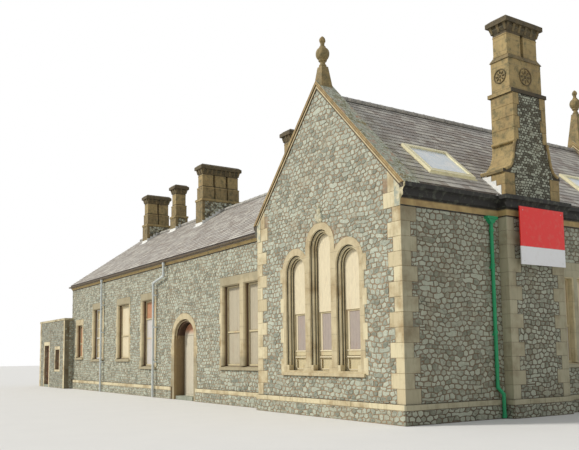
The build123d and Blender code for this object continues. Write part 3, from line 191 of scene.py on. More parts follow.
def sizes():
    return bpy.context.scene.station_sizes


def colours():
    return bpy.context.scene.station_colours


class Finish:
    """A material put together node by node, with patterns on object coordinates."""

    def __init__(self, name):
        self.material = bpy.data.materials.new(name)
        self.material.use_nodes = True
        self.nodes = self.material.node_tree.nodes
        self.links = self.material.node_tree.links
        self.shader = self.nodes["Principled BSDF"]
        self.place = self.nodes.new("ShaderNodeTexCoord").outputs["Object"]

    def feed(self, socket, value):
        """Link a socket to another one, or set its constant."""
        if isinstance(value, bpy.types.NodeSocket):
            self.links.new(value, socket)
        else:
            socket.default_value = (*value, 1) if socket.type == "RGBA" else value

    def put(self, kind, values=(), **settings):
        node = self.nodes.new("ShaderNode" + kind)
        for key, value in settings.items():
            setattr(node, key, value)
        for key, value in dict(values).items():
            self.feed(node.inputs[key], value)
        return node

    def stretched(self, *scale):
        return self.put("Mapping", {"Vector": self.place, "Scale": scale}).outputs["Vector"]

    def speckle(self, scale, detail=4, vector=None):
        values = {"Vector": vector or self.place, "Scale": scale, "Detail": detail, "Roughness": 0.6}
        return self.put("TexNoise", values).outputs["Fac"]

    def sums(self, operation, first, second=0.0, third=0.0):
        return self.put("Math", {0: first, 1: second, 2: third}, operation=operation).outputs[0]

    def times(self, value, *factors):
        for factor in factors:
            value = self.sums("MULTIPLY", value, factor)
        return value

    def scaled(self, value, factor, offset):
        """The value times a factor, plus an offset."""
        return self.sums("MULTIPLY_ADD", value, factor, offset)

    def band(self, value, low, high):
        """Nought at low and below, one at high and above."""
        return self.put("MapRange", {"Value": value, "From Min": low, "From Max": high}).outputs["Result"]

    def strip(self, value, low, high, edge):
        """One from low to high, nought beyond the soft edges outside them."""
        return self.times(self.band(value, low - edge, low), self.band(value, high + edge, high))

    def patches(self, scale, detail, low, high, vector=None):
        """Cloudy patches: nought where the noise is low, one where it is high."""
        return self.band(self.speckle(scale, detail, vector), low, high)

    def axis(self, name):
        return self.put("SeparateXYZ", {"Vector": self.place}).outputs[name]

    def along(self, name, low, high):
        """Nought at low and one at high along an axis."""
        return self.band(self.axis(name), low, high)

    def attribute(self, name):
        return self.put("Attribute", attribute_name=name).outputs["Fac"]

    def blend(self, share, first, second):
        return self.put("Mix", {0: share, 6: first, 7: second}, data_type="RGBA").outputs[2]

    def stain(self, base, colour, share, strength):
        """Lay a colour over the base, as strong as it says where the share is one."""
        return self.blend(self.times(share, strength), base, colour)

    def grime_and_shade(self, scale, amount, share=None):
        """Cloudy share of black about an amount, over a whole finish or the part that the share names: sooty
        dirt, and on the eaves course a painted shadow line.
        """
        cover = self.scaled(self.speckle(scale, 5), 0.5, amount - 0.25)
        if share is not None:
            cover = self.times(share, cover)
        cover.node.use_clamp = True
        return cover

    def ramp(self, value, *stops):
        node = self.put("ValToRGB", {"Fac": value})
        ramp = node.color_ramp
        while len(ramp.elements) < len(stops):
            ramp.elements.new(0.5)
        for element, (place, colour) in zip(ramp.elements, stops):
            element.position = place
            element.color = (*colour, 1)
        return node.outputs["Color"]

    def joints(self, value, pitch, width):
        """One on the joints that repeat along a value, nought between them."""
        share = self.sums("FRACT", self.sums("DIVIDE", value, pitch))
        near = self.sums("ABSOLUTE", self.sums("SUBTRACT", share, 0.5))
        return self.band(near, 0.5 - width / pitch, 0.5)

    def finish(self, colour, rough, height=None, depth=0.008, strength=0.5, metallic=0.0):
        self.feed(self.shader.inputs["Metallic"], metallic)
        self.feed(self.shader.inputs["Base Color"], colour)
        self.feed(self.shader.inputs["Roughness"], rough)
        if height is not None:
            bump = self.put("Bump", {"Strength": strength, "Distance": depth, "Height": height})
            self.feed(self.shader.inputs["Normal"], bump.outputs["Normal"])
        return self.material


def shaded_side(f):
    """One on the wing's right side, which stands in shade, nought on its front; finishes darken it there as
    painted shade.
    """
    return f.along("X", HALF - 0.05, HALF + 0.02)


def rubble_finish(name="rubble stone", sooty=0.0):
    """Grey limestone: a tone for each stone, mottled, chipped and pitted, on the stacks also sooty."""
    f, c = Finish(name), colours()
    mottle, pits, tone = f.speckle(13, 7), f.speckle(30, 6), f.attribute("tone")
    value = f.scaled(f.sums("SUBTRACT", mottle, 0.5), 1.5, tone)
    base = f.ramp(value, (0.0, c.stone_dark), (0.3, c.stone_mid), (0.95, c.stone_pale))
    if sooty:
        base = f.stain(base, c.soot_and_shade, f.band(f.scaled(f.speckle(7, 5), 0.8, tone), 0.95, 0.7), sooty)
    base = f.stain(base, c.sandstone_brown, f.patches(1.1, 4, 0.54, 0.72), 0.32)
    # Green-brown tint on the wing's side in shade: partly lichen, partly painted shade that darkens that side.
    base = f.stain(base, c.lichen, shaded_side(f), 0.22)
    base = f.stain(base, c.soot_and_shade, f.along("X", ANNEXE_RIGHT + 0.02, ANNEXE_RIGHT - 0.02), 0.25)
    base = f.stain(base, c.soot_and_shade, f.band(pits, 0.4, 0.3), 0.55)
    return f.finish(base, f.band(pits, -0.6, 1.2), f.scaled(mottle, 0.8, pits), 0.025, 0.9)


def mortar_finish():
    """Lime mortar, damp and dark in places, and near black on the wing's side in shade as painted shade between
    its stones.
    """
    f, c = Finish("lime mortar"), colours()
    sand = f.speckle(60, 4)
    base = f.ramp(f.speckle(5, 6), (0.3, c.stone_dark), (0.5, c.mortar), (0.8, c.stone_pale))
    # Painted shade: the joints on the side in shade go near black, for the shadows between its stones.
    base = f.stain(base, c.soot_and_shade, shaded_side(f), 0.6)
    return f.finish(base, f.band(sand, -1.5, 1.2), sand, 0.006, 0.6)


def ashlar_finish(name, soot_and_shade=0.0, lichen=0.0, pitch=0, bands=(), gold=False, along="Z", weather=()):
    """Buff or golden dressed stone with brown stains, pits, growth, soot and joints at a pitch.

    Each band is a low and a high edge in Z and how black it is; on the eaves course the band is a painted
    shadow line. Each weather is a function that adds stains, and some also paint shade.
    """
    f, c = Finish(name), colours()
    grain = height = f.speckle(45, 6)
    mix = f.scaled(f.attribute("tone"), 0.38, f.patches(1.6, 6, 0.46, 0.82))
    base = f.ramp(mix, (0.12, c.sandstone_gold if gold else c.sandstone), (0.95, c.sandstone_brown))
    base = f.stain(base, c.lichen, f.patches(5, 4, 0.5, 0.8, f.stretched(2.5, 2.5, 0.35)), 0.45)
    if lichen:
        base = f.stain(base, c.lichen, f.patches(6, 7, 0.62 - lichen * 0.3, 0.66), 0.75)
        base = f.stain(base, c.soot_and_shade, f.patches(17, 5, 0.55, 0.7), 0.6 * lichen)
    if soot_and_shade:
        base = f.blend(f.grime_and_shade(3, soot_and_shade), base, c.soot_and_shade)
    # Black bands: sooty dirt on the chimneys, a painted shadow line under the eaves course.
    for low, high, black in bands:
        base = f.blend(f.grime_and_shade(9, black, f.strip(f.axis("Z"), low, high, 0.004)), base, c.soot_and_shade)
    if pitch:
        lines = f.joints(f.axis(along), pitch, 0.006)
        base = f.stain(base, c.stone_dark, lines, 0.65)
        height = f.scaled(lines, -2.5, grain)
    for stains in weather:
        base = stains(f, c, base)
    return f.finish(base, f.band(grain, -1.6, 1.1), height)


def sooty_outer_face(f, c, base):
    """The stack's outer face is black between its rubble and its corner blocks."""
    return f.stain(base, c.soot_and_shade, f.along("X", BREAST_FACE - 0.006, BREAST_FACE - 0.002), 0.85)


def shaded_and_dirty_flanks(f, c, base):
    """Stone is darker on the wing's right side, partly dirt and partly painted shade, and near black as painted
    shade on the side of the store's corner blocks, at the corner between the store and the range.
    """
    # Darker on the wing's right side: partly dirt, partly painted shade for the side in shade.
    base = f.stain(base, c.stone_dark, f.along("X", HALF + 0.005, HALF + 0.012), 0.5)
    # Painted shade on the right-facing side of the store's corner, which stands in shade.
    store = f.times(f.along("X", ANNEXE_RIGHT + 0.001, ANNEXE_RIGHT + 0.005),
                    f.along("X", ANNEXE_RIGHT + 0.3, ANNEXE_RIGHT + 0.2))
    return f.stain(base, c.soot_and_shade, store, 0.7)


def doorway(f):
    """One on the inner jambs of the range's doorways, nought elsewhere."""
    return f.times(f.strip(f.axis("X"), DOOR_X - 0.93, DOOR_X + 0.93, 0.02),
                   f.along("Z", DOOR_SPRING + 0.01, DOOR_SPRING))


def reveal_shade(f):
    """Painted shade in the reveals: black next to the boards, with pale fillets between dark hollows that are
    painted shade too.
    """
    across = f.sums("ABSOLUTE", f.sums("SUBTRACT", f.axis("Y"), RANGE_MIDDLE))
    depth = f.sums("SUBTRACT", RANGE_MIDDLE - RANGE_FRONT, across)
    shade_kept = f.sums("SUBTRACT", 1, f.times(doorway(f), 0.75))
    window = f.times(f.band(depth, 0.06, 0.12), 0.85, f.along("X", -3.6, -3.7), shade_kept)
    depth = f.sums("SUBTRACT", f.axis("Y"), FRONT)
    hollows = f.sums("MAXIMUM", f.strip(depth, 0.05, 0.09, 0.015), f.strip(depth, 0.15, 0.2, 0.015))
    return f.sums("MAXIMUM", window, f.times(hollows, 0.88, f.along("X", -2.2, -2.1)))


def stained_and_shaded_jambs(f, c, base):
    """Grey lintels and sills, brown doorways and gable front, and painted shade in the reveals."""
    ranged = f.along("X", -3.6, -3.7)
    lintel = f.times(f.along("Z", 4.2, 4.28), f.patches(0.5, 3, 0.35, 0.5))
    foot = f.along("Z", 1.8, 1.66)
    base = f.stain(base, c.stone_dark, f.times(f.sums("MAXIMUM", lintel, foot), 0.55), ranged)
    stained = f.sums("MAXIMUM", f.times(ranged, 0.3), f.times(doorway(f), 0.8))
    gable = f.times(f.scaled(f.patches(4, 5, 0.35, 0.75), 0.3, 0.22), f.along("Y", FRONT + 0.03, FRONT))
    base = f.blend(f.sums("MAXIMUM", stained, gable), base, c.sandstone_brown)
    # Painted shade: the reveals go black, tinted brown in the range's windows.
    shade = reveal_shade(f)
    base = f.blend(shade, base, c.soot_and_shade)
    return f.stain(base, c.door_paint_and_reveal_shade, f.times(shade, ranged), 0.45)


def coping_finish():
    """Coping: a brown face with its mouldings painted on as dark shadow lines and a pale highlight, painted
    shade on its sides below the cornice top, and a top grown over with white, orange and green lichen.
    """
    f, c = Finish("coping stone"), colours()
    across, height, grain = f.sums("ABSOLUTE", f.axis("X")), f.axis("Z"), f.speckle(45, 6)
    below = f.sums("SUBTRACT", COPING_APEX, f.scaled(across, math.tan(COPING_PITCH), height))
    face = f.ramp(f.speckle(4, 6), (0.3, c.sandstone_gold), (0.55, c.sandstone_brown), (0.75, c.lichen))
    # Painted shade: dark lines for the shadows of the face's mouldings and under its lower edge.
    for low, high, share in ((0.125, 0.15, 0.75), (0.045, 0.06, 0.5), (0.235, 0.28, 0.8)):
        face = f.stain(face, c.soot_and_shade, f.strip(below, low, high, 0.008), share)
    # Painted highlight: a pale line along a moulding's fillet.
    face = f.stain(face, c.sandstone, f.strip(below, 0.186, 0.219, 0.006), 0.7)
    stone = f.ramp(f.speckle(7, 6), (0.35, c.sandstone), (0.6, c.stone_mid))
    face = f.blend(f.times(f.band(below, 0.27, 0.29), f.band(height, 6.5, 6.45)), face, stone)
    growth = f.ramp(f.speckle(3, 5), (0.3, c.sandstone_brown), (0.42, c.lichen), (0.52, c.stone_mid),
                    (0.75, c.rust))
    growth = f.stain(growth, c.stone_pale, f.patches(14, 5, 0.5, 0.58), 0.95)
    base = f.blend(f.band(below, 0.012, 0.004), face, growth)
    # Painted shade: the coping's sides beyond the wall, below the cornice top, go near black.
    side = f.times(f.band(across, HALF, HALF + 0.005), f.band(height, CORNICE_TOP, CORNICE_TOP - 0.005))
    base = f.stain(base, c.soot_and_shade, side, 0.85)
    down = f.scaled(across, math.cos(COPING_PITCH), f.times(height, -math.sin(COPING_PITCH)))
    lines = f.joints(down, 0.62, 0.007)
    base = f.stain(base, c.stone_dark, lines, 0.65)
    return f.finish(base, f.band(grain, -1.6, 1.1), f.scaled(lines, -2.5, grain))


def cornice_finish():
    """Cornice, near black from sooty dirt and painted shade, save its orange-brown lowest members and its buff
    end, with a painted shadow line at its foot.
    """
    f, c = Finish("cornice stone"), colours()
    wear = f.speckle(6, 6)
    # Near black for sooty dirt and painted shade together.
    dark = f.ramp(wear, (0.5, c.soot_and_shade), (1.0, c.stone_dark))
    bare = f.ramp(f.speckle(3, 6), (0.3, c.sandstone_brown), (0.6, c.sandstone_gold), (0.8, c.lichen))
    # Orange-brown lowest members; below them, at the cornice's foot, a painted shadow line.
    low = f.times(f.along("Z", CORNICE_FOOT + 0.024, CORNICE_FOOT + 0.03),
                  f.along("Z", CORNICE_FOOT + 0.2, CORNICE_FOOT + 0.16))
    end = f.ramp(f.speckle(8, 6), (0.35, c.sandstone), (0.6, c.lichen))
    base = f.blend(f.along("Y", FRONT - 0.019, FRONT - 0.022), f.blend(low, dark, bare), end)
    height = f.scaled(f.joints(f.axis("Y"), 0.8, 0.006), -2.5, f.speckle(45, 6))
    return f.finish(base, f.band(wear, -1.2, 1.1), height)


def slate_finish():
    """Slates in warm greys, with riven faces, pale streaks of painted sheen and moss where the roof meets
    stone.
    """
    f, c = Finish("roof slate"), colours()
    riven = f.speckle(14, 6, f.stretched(1, 1, 2.2))
    value = f.scaled(riven, 0.8, f.scaled(f.attribute("tone"), 0.6, -0.2))
    base = f.ramp(value, (0.1, c.slate_warm), (0.5, c.slate), (0.9, c.slate_pale))
    # Painted sheen: pale streaks across the slates.
    base = f.stain(base, c.slate_pale, f.patches(2.4, 6, 0.55, 0.72, f.stretched(1, 1, 0.3)), 0.5)
    moss = f.times(f.attribute("moss"), f.patches(5, 6, 0.35, 0.6))
    base = f.stain(base, sheet_colour(158, 160, 112), moss, 0.6)
    return f.finish(base, f.scaled(riven, 0.35, 0.5), riven, 0.004, 0.6)


def tile_finish():
    """Dark clay ridge tiles, dirty at their joints, with painted shade along their lower edges where they meet
    the slates.
    """
    f, c = Finish("ridge tile"), colours()
    wear = f.speckle(7, 6)
    base = f.ramp(wear, (0.35, c.ridge_tile), (0.75, c.slate_pale))
    ridge = f.scaled(f.along("X", -0.5, -0.3), WING_RIDGE - RANGE_RIDGE, RANGE_RIDGE)
    # Painted shade along the tiles' lower edges, where they meet the slates.
    base = f.stain(base, c.soot_and_shade, f.band(f.sums("SUBTRACT", f.axis("Z"), ridge), -0.015, -0.03), 0.8)
    lines = [f.joints(f.axis(name), RIDGE_TILE, 0.008) for name in "XY"]
    base = f.stain(base, c.soot_and_shade, f.sums("MAXIMUM", *lines), 0.7)
    return f.finish(base, f.band(wear, -0.9, 1.1), wear, 0.006)


def timber_finish(name, colour, stain, streak, foot=None):
    """Old paint or bare board with upright grain, dirt and rust stains."""
    f, c = Finish(name), colours()
    grain = f.speckle(16, 6, f.stretched(6, 6, 0.35))
    base = f.ramp(grain, (0.3, tuple(v * 0.72 for v in colour)), (0.62, colour))
    base = f.stain(base, c.grey_board, f.patches(2.3, 5, 0.45, 0.75), streak)
    base = f.stain(base, c.rust, f.patches(1.3, 4, 0.56, 0.72, f.stretched(2, 2, 0.7)), stain)
    if foot is not None:
        base = f.stain(base, c.rust, f.along("Z", *foot), 0.85)
    return f.finish(base, f.band(grain, -1.2, 1.2), grain, 0.003)


def paint_finish(name, colour, rust, metallic=0.0):
    """Paint on iron or wood, chalky with rust and dirt showing through."""
    f, c = Finish(name), colours()
    wear = f.speckle(8, 6)
    base = f.ramp(wear, (0.25, tuple(v * 0.8 for v in colour)), (0.6, colour))
    base = f.stain(base, c.rust, f.patches(26, 6, 0.66 - 0.12 * rust, 0.7), rust)
    return f.finish(base, f.scaled(wear, 0.25, 0.42), wear, 0.002, 0.3, metallic)


def lead_finish():
    """Pale weathered lead, dressed by hand."""
    f, c = Finish("dressed lead"), colours()
    dents = f.speckle(11, 4)
    base = f.ramp(dents, (0.3, c.grey_iron), (0.6, c.white_paint))
    return f.finish(base, f.scaled(dents, 0.3, 0.4), dents, 0.006, 0.4)


def sign_finish():
    """Red field over a white one, with no lettering, a little chalked."""
    f, c = Finish("sign enamel"), colours()
    chalk = f.speckle(6, 5)
    base = f.blend(f.along("Z", SIGN_SPLIT, SIGN_SPLIT + 0.004), c.sign_white, c.sign_red)
    base = f.stain(base, c.grey_board, f.band(chalk, 0.5, 0.9), 0.25)
    return f.finish(base, f.scaled(chalk, 0.2, 0.28), chalk, 0.001, 0.3)


def glass_finish():
    """Dusty glazing, with a pale sky painted into its colour as a reflection."""
    f, c = Finish("dusty glass"), colours()
    dust = f.speckle(3.5, 6)
    # Painted reflection: pale blue sky, whitened where the dust lies.
    base = f.ramp(dust, (0.3, sheet_colour(188, 206, 216)), (0.7, c.white_paint))
    f.shader.inputs["IOR"].default_value = 1.5
    return f.finish(base, f.scaled(dust, 0.3, 0.05), dust, 0.001, 0.2)


def flag_finish():
    """Stone flags with dark joints."""
    f, c = Finish("flagstone"), colours()
    wear = f.speckle(4, 6)
    lines = f.sums("MAXIMUM", f.joints(f.axis("X"), 0.9, 0.01), f.joints(f.axis("Y"), 0.6, 0.01))
    base = f.stain(f.ramp(wear, (0.3, c.stone_dark), (0.7, c.stone_mid)), c.soot_and_shade, lines, 0.7)
    return f.finish(base, f.band(wear, -0.9, 1.3), f.scaled(lines, -2, wear), 0.006)


RIDGE_BANDS = (
    (8, RIDGE_BASE_TOP - 0.11, 0.35), (RIDGE_BASE_TOP, RIDGE_STAGE_TOP - 0.06, 0.3),
    (RIDGE_STAGE_TOP, RIDGE_STAGE_TOP + 0.05, 0.9), (RIDGE_CAP_FOOT - 0.04, 12, 0.72),
)
STACK_BANDS = (
    (6, 6.75, 0.45), (8.96, SHAFT_TOP, 0.7), (STAGE_FOOT, STAGE_FOOT + 0.03, 0.8),
    (STAGE_TOP, FLUE_FOOT, 0.45), (FLUE_FOOT, FLUE_FOOT + 0.03, 1.1), (CAP_FOOT - 0.05, 12, 0.78),
)
# Painted shadow: a black line along the foot of the eaves course, under its projection.
EAVES_SHADOW_BANDS = ((5.6, EAVES_FOOT + 0.02, 1.1),)
FINISHES = {
    "rubble": rubble_finish,
    "stack rubble": lambda: rubble_finish("stack rubble", 0.8),
    "mortar": mortar_finish,
    "ashlar": lambda: ashlar_finish("buff ashlar", weather=(shaded_and_dirty_flanks,)),
    "brown ashlar": lambda: ashlar_finish("brown ashlar", 0.22, 0.4, gold=True),
    "jamb": lambda: ashlar_finish("jamb stone", 0.02, 0, 0.46, weather=(stained_and_shaded_jambs, shaded_and_dirty_flanks)),
    "ledge": lambda: ashlar_finish("ledge stone", 0.2, 0.35),
    "shaft": lambda: ashlar_finish("stack ashlar", 0.22, 0.4, 0.33, STACK_BANDS, True,
                                   weather=(sooty_outer_face,)),
    "chimney": lambda: ashlar_finish("chimney ashlar", 0.25, 0.4, 0.28, RIDGE_BANDS, True),
    "eaves": lambda: ashlar_finish("eaves stone", 0, 0.1, 0.75, EAVES_SHADOW_BANDS, True, "X"),
    "coping": coping_finish,
    "finial": lambda: ashlar_finish("finial stone", 0.3, 0.8, gold=True),
    "cap": lambda: ashlar_finish("cap stone", 0.15, 0.3, 0.345, STACK_BANDS, True),
    "bracket": lambda: ashlar_finish("bracket stone", 0.62, 0.5, gold=True),
    "cornice": cornice_finish,
    "slate": slate_finish,
    "tile": tile_finish,
    "cream": lambda: timber_finish("cream board", colours().cream_board, 0.12, 0.1),
    "grey": lambda: timber_finish("grey board", colours().grey_board, 0.15, 0.3),
    "mauve": lambda: timber_finish("mauve board", sheet_colour(176, 163, 154), 0.1, 0.2),
    "pale grey": lambda: timber_finish("pale board", sheet_colour(212, 206, 200), 0.12, 0.35),
    "door": lambda: timber_finish("doorway board", sheet_colour(214, 206, 184), 0.1, 0.2, (2.62, 2.85)),
    "sash": lambda: timber_finish("sash timber", colours().frame_timber, 0.3, 0.2),
    "rusty": lambda: timber_finish("stained board", sheet_colour(190, 136, 100), 0.35, 0.3),
    "store door": lambda: timber_finish("store door", colours().door_paint_and_reveal_shade, 0.4, 0.15),
    "white": lambda: paint_finish("white paint", colours().white_paint, 0.15),
    "cream paint": lambda: paint_finish("cream paint", sheet_colour(238, 230, 190), 0.15),
    "green": lambda: paint_finish("green iron", colours().green_iron, 0.25),
    "iron": lambda: paint_finish("pale iron", colours().grey_iron, 0.15),
    "gutter": lambda: paint_finish("gutter iron", colours().gutter_iron, 0.5),
    "black iron": lambda: paint_finish("black iron", colours().soot_and_shade, 0.5, 0.4),
    "lead": lead_finish,
    "sign": sign_finish,
    "glass": glass_finish,
    "flag": flag_finish,
}

# Finishes made so far, each made once; NODES_BY_FINISH gives which finishes each slot of the frame takes
made = {}


def finish_of(name):
    if name not in made:
        made[name] = FINISHES[name]()
    return made[name]


def new_mesh():
    mesh = bmesh.new()
    mesh.verts.layers.float.new("tone")
    mesh.verts.layers.float.new("moss")
    return mesh


def new_meshes(count):
    return [new_mesh() for _ in range(count)]


def paint_tone(mesh, verts, tone):
    layer = mesh.verts.layers.float["tone"]
    for vert in verts:
        vert[layer] = tone


def piece(name, mesh, finish, body="building", replaced=()):
    """Turn a finished bmesh into an object that rides on a body."""
    bmesh.ops.recalc_face_normals(mesh, faces=mesh.faces[:])
    data = bpy.data.meshes.new(name)
    mesh.to_mesh(data)
    mesh.free()
    data.materials.append(finish_of(finish))
    obj = bpy.data.objects.new(name, data)
    bpy.context.scene.collection.objects.link(obj)
    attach(obj, body)
    if replaced:
        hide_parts(*replaced)


def facing(direction, value):
    """Frame of an upright face: local X along it, local Y up, local Z out of it."""
    along, out = {
        "front": ((1, 0, 0), (0, -1, 0)),
        "right": ((0, 1, 0), (1, 0, 0)),
        "rear": ((-1, 0, 0), (0, 1, 0)),
        "left": ((0, -1, 0), (-1, 0, 0)),
    }[direction]
    turn = Matrix((along, (0, 0, 1), out)).transposed().to_4x4()
    return Matrix.Translation([abs(part) * value for part in out]) @ turn


def slope(direction, pitch, ridge_place, ridge_height):
    """Frame of a roof slope: local X along the ridge, local Y up the slope, local Z out of the slates."""
    turn = Matrix.Rotation(-(math.pi / 2 - pitch), 4, "X")
    return Matrix.Translation((0, 0, ridge_height)) @ facing(direction, ridge_place) @ turn


def whole(mesh):
    return mesh.faces[:] + mesh.edges[:] + mesh.verts[:]


def only(kind, parts):
    return [part for part in parts if isinstance(part, kind)]


def add_to(target, mesh, plane=Matrix()):
    """Lay a mesh in the frame of a face, join it to another mesh and free it."""
    bmesh.ops.transform(mesh, matrix=plane, verts=mesh.verts[:])
    data = bpy.data.meshes.new("part")
    mesh.to_mesh(data)
    mesh.free()
    target.from_mesh(data)
    bpy.data.meshes.remove(data)


def shift(mesh, *way):
    bmesh.ops.translate(mesh, vec=way, verts=mesh.verts[:])


def box(mesh, first, second, tone=0.3, plane=Matrix()):
    """Block between two opposite corners, in the frame of a face where one is given."""
    low, high = (Vector(corner) for corner in zip(*(sorted(pair) for pair in zip(first, second))))
    place = Matrix.Translation((low + high) / 2) @ Matrix.Diagonal((*(high - low), 1))
    verts = bmesh.ops.create_cube(mesh, size=1, matrix=plane @ place)["verts"]
    paint_tone(mesh, verts, tone)
    return verts


def soften(mesh, width):
    """Break the arrises of every block."""
    bmesh.ops.bevel(
        mesh, geom=mesh.edges[:], offset=width, segments=1, profile=0.5, affect="EDGES", material=-1,
        clamp_overlap=True,
    )


def cylinder(mesh, start, end, radius, sides=16):
    start, end = Vector(start), Vector(end)
    turn = (end - start).to_track_quat("Z", "Y").to_matrix().to_4x4()
    verts = bmesh.ops.create_cone(
        mesh, cap_ends=True, segments=sides, radius1=radius, radius2=radius, depth=(end - start).length,
        matrix=Matrix.Translation((start + end) / 2) @ turn,
    )["verts"]
    paint_tone(mesh, verts, 0.3)


def ball(mesh, place, size, subdivisions=2):
    """Ball squashed to a half size along each axis."""
    place = place @ Matrix.Diagonal((*size, 1))
    bmesh.ops.create_icosphere(mesh, subdivisions=subdivisions, radius=1, matrix=place)


def trim(mesh, point, out):
    """Cut a shape by a plane, drop what lies beyond it and close the cut."""
    bmesh.ops.bisect_plane(mesh, geom=whole(mesh), plane_co=point, plane_no=out, clear_outer=True)
    bmesh.ops.holes_fill(mesh, edges=[edge for edge in mesh.edges if edge.is_boundary], sides=30)


def extrude(mesh, geom, way=(0, 0, 0), keep=False):
    """Extrude a region, move what grows and give it back."""
    grown = bmesh.ops.extrude_face_region(mesh, geom=geom, use_keep_orig=keep)["geom"]
    bmesh.ops.translate(mesh, vec=way, verts=only(bmesh.types.BMVert, grown))
    return grown


def turn_about(mesh, geom, count, angle=2 * math.pi, centre=(0, 0, 0), axis=(0, 0, 1)):
    """Spin a profile about an axis, closed when it goes all the way round."""
    return bmesh.ops.spin(mesh, geom=geom, cent=centre, axis=axis, dvec=(0, 0, 0), angle=angle, steps=count,
                          use_merge=angle > 6, use_duplicate=False)


def steps(low, high, pitch, least=1):
    """Low and high ends of the even steps that fill a length, each about a pitch long."""
    count = max(least, round((high - low) / pitch))
    step = (high - low) / count
    return [(low + i * step, low + (i + 1) * step) for i in range(count)]


def square_hole(left, right, foot, head):
    """Hole as its middle, its half width, its foot, where an arch would spring, and its crown."""
    return (left + right) / 2, abs(right - left) / 2, foot, head, head


def free_runs(left, right, holes, height):
    """Stretches between left and right that no square hole takes at this height."""
    spans = sorted((middle - half, middle + half) for middle, half, foot, _, head in holes
                   if foot < height < head)
    runs, start = [], left
    for low, high in (*spans, (right, right)):
        if low - start > 0.05:
            runs.append((start, min(low, right)))
        start = max(start, high)
    return runs


def bonded_field(left, right, low, high, long, tall, rng, seed):
    """Field of stones in a loose bond: a grid that loses every second upright, with its points pushed about."""
    mesh = new_mesh()
    columns, rows = 2 * math.ceil((right - left) / long) + 2, math.ceil((high - low) / tall) + 2
    bmesh.ops.create_grid(mesh, x_segments=columns, y_segments=rows, size=0.5)
    lost = []
    for edge in mesh.edges:
        first, second = edge.verts
        if edge.is_boundary or abs(first.co.x - second.co.x) > 1e-6:
            continue
        column = round((first.co.x + 0.5) * columns)
        row = math.floor((first.co.y + second.co.y + 1) / 2 * rows)
        if (column + row) % 2 == 0 or rng.random() < 0.05:
            lost.append(edge)
    bmesh.ops.dissolve_edges(mesh, edges=lost, use_verts=False)
    for vert in mesh.verts:
        x = left - long / 2 + (vert.co.x + 0.5) * columns * long / 2
        y = low - tall / 2 + (vert.co.y + 0.5) * rows * tall
        drift = noise.noise_vector(Vector((x * 1.3, y * 1.3, seed)))
        x += long * (0.5 * drift.x + rng.uniform(-0.19, 0.19))
        y += tall * (0.8 * drift.y + rng.uniform(-0.34, 0.34))
        vert.co = (x, y, 0)
    return mesh


def cut_along(mesh, faces, point, out, clear=False):
    """Cut some stones of a flat field along a line, and drop what lies beyond it where that is wanted."""
    edges = list(dict.fromkeys(edge for face in faces for edge in face.edges))
    verts = list(dict.fromkeys(vert for face in faces for vert in face.verts))
    geom = faces + edges + verts
    bmesh.ops.bisect_plane(mesh, geom=geom, plane_co=(*point, 0), plane_no=(*out, 0), clear_outer=clear)


def cut_hole(mesh, hole):
    """Trim the stones to a hole: straight cuts at its sides, points pushed out of an arched head."""
    centre, half, foot, spring, crown = hole
    left, right, rise = centre - half, centre + half, crown - spring

    def reach(place):
        """How far a place is from the middle, where the sides and the arch are one."""
        return math.hypot((place.x - centre) / half, max(0.0, place.y - spring) / rise if rise else 0)

    def touching():
        for face in mesh.faces:
            across, along = [v.co.x for v in face.verts], [v.co.y for v in face.verts]
            if min(across) < right and max(across) > left and min(along) < crown and max(along) > foot:
                yield face

    for point, out in (((left, 0), (1, 0)), ((right, 0), (1, 0)), ((0, foot), (0, 1)), ((0, spring), (0, 1))):
        cut_along(mesh, list(touching()), point, out)
    inside = []
    for face in touching():
        middle = face.calc_center_bounds()
        if left < middle.x < right and foot < middle.y < crown and reach(middle) < 1:
            inside.append(face)
    bmesh.ops.delete(mesh, geom=inside, context="FACES")
    for vert in mesh.verts if rise else ():
        if vert.co.y - spring > 0.001 * rise and 0.01 < reach(vert.co) < 1:
            out = reach(vert.co)
            vert.co.x = centre + (vert.co.x - centre) / out
            vert.co.y = spring + (vert.co.y - spring) / out


def draw_in(face, amount):
    """Bring a stone's corners in, at most half way to its middle."""
    middle = face.calc_center_bounds()
    for vert in face.verts:
        for axis in (0, 1):
            gap = middle[axis] - vert.co[axis]
            vert.co[axis] += math.copysign(min(amount, abs(gap) / 2), gap)


def dress_rubble(mesh, rng, proud, mortar, pillow):
    """Round the stones, open the joints and give each stone a thickness, a worn edge and a tone."""
    scraps = [face for face in mesh.faces if face.calc_area() < 0.0015]
    bmesh.ops.delete(mesh, geom=scraps, context="FACES")
    bmesh.ops.smooth_vert(mesh, verts=mesh.verts[:], factor=0.28, use_axis_x=True, use_axis_y=True,
                          use_axis_z=False)
    for face in mesh.faces:
        paint_tone(mesh, face.verts, rng.random())
        draw_in(face, mortar / 3)
    tops = only(bmesh.types.BMFace, extrude(mesh, whole(mesh), keep=True))
    for top in tops:
        lift = proud * rng.uniform(0.15, 0.75)
        tilt = rng.uniform(-0.12, 0.12) * proud, rng.uniform(-0.12, 0.12) * proud
        middle = top.calc_center_median()
        for vert in top.verts:
            side = vert.co - middle
            vert.co.z += lift + 6 * (tilt[0] * side.x + tilt[1] * side.y)
    for top in bmesh.ops.extrude_discrete_faces(mesh, faces=tops)["faces"]:
        draw_in(top, pillow)
        for vert in top.verts:
            vert.co.z += proud * 0.3


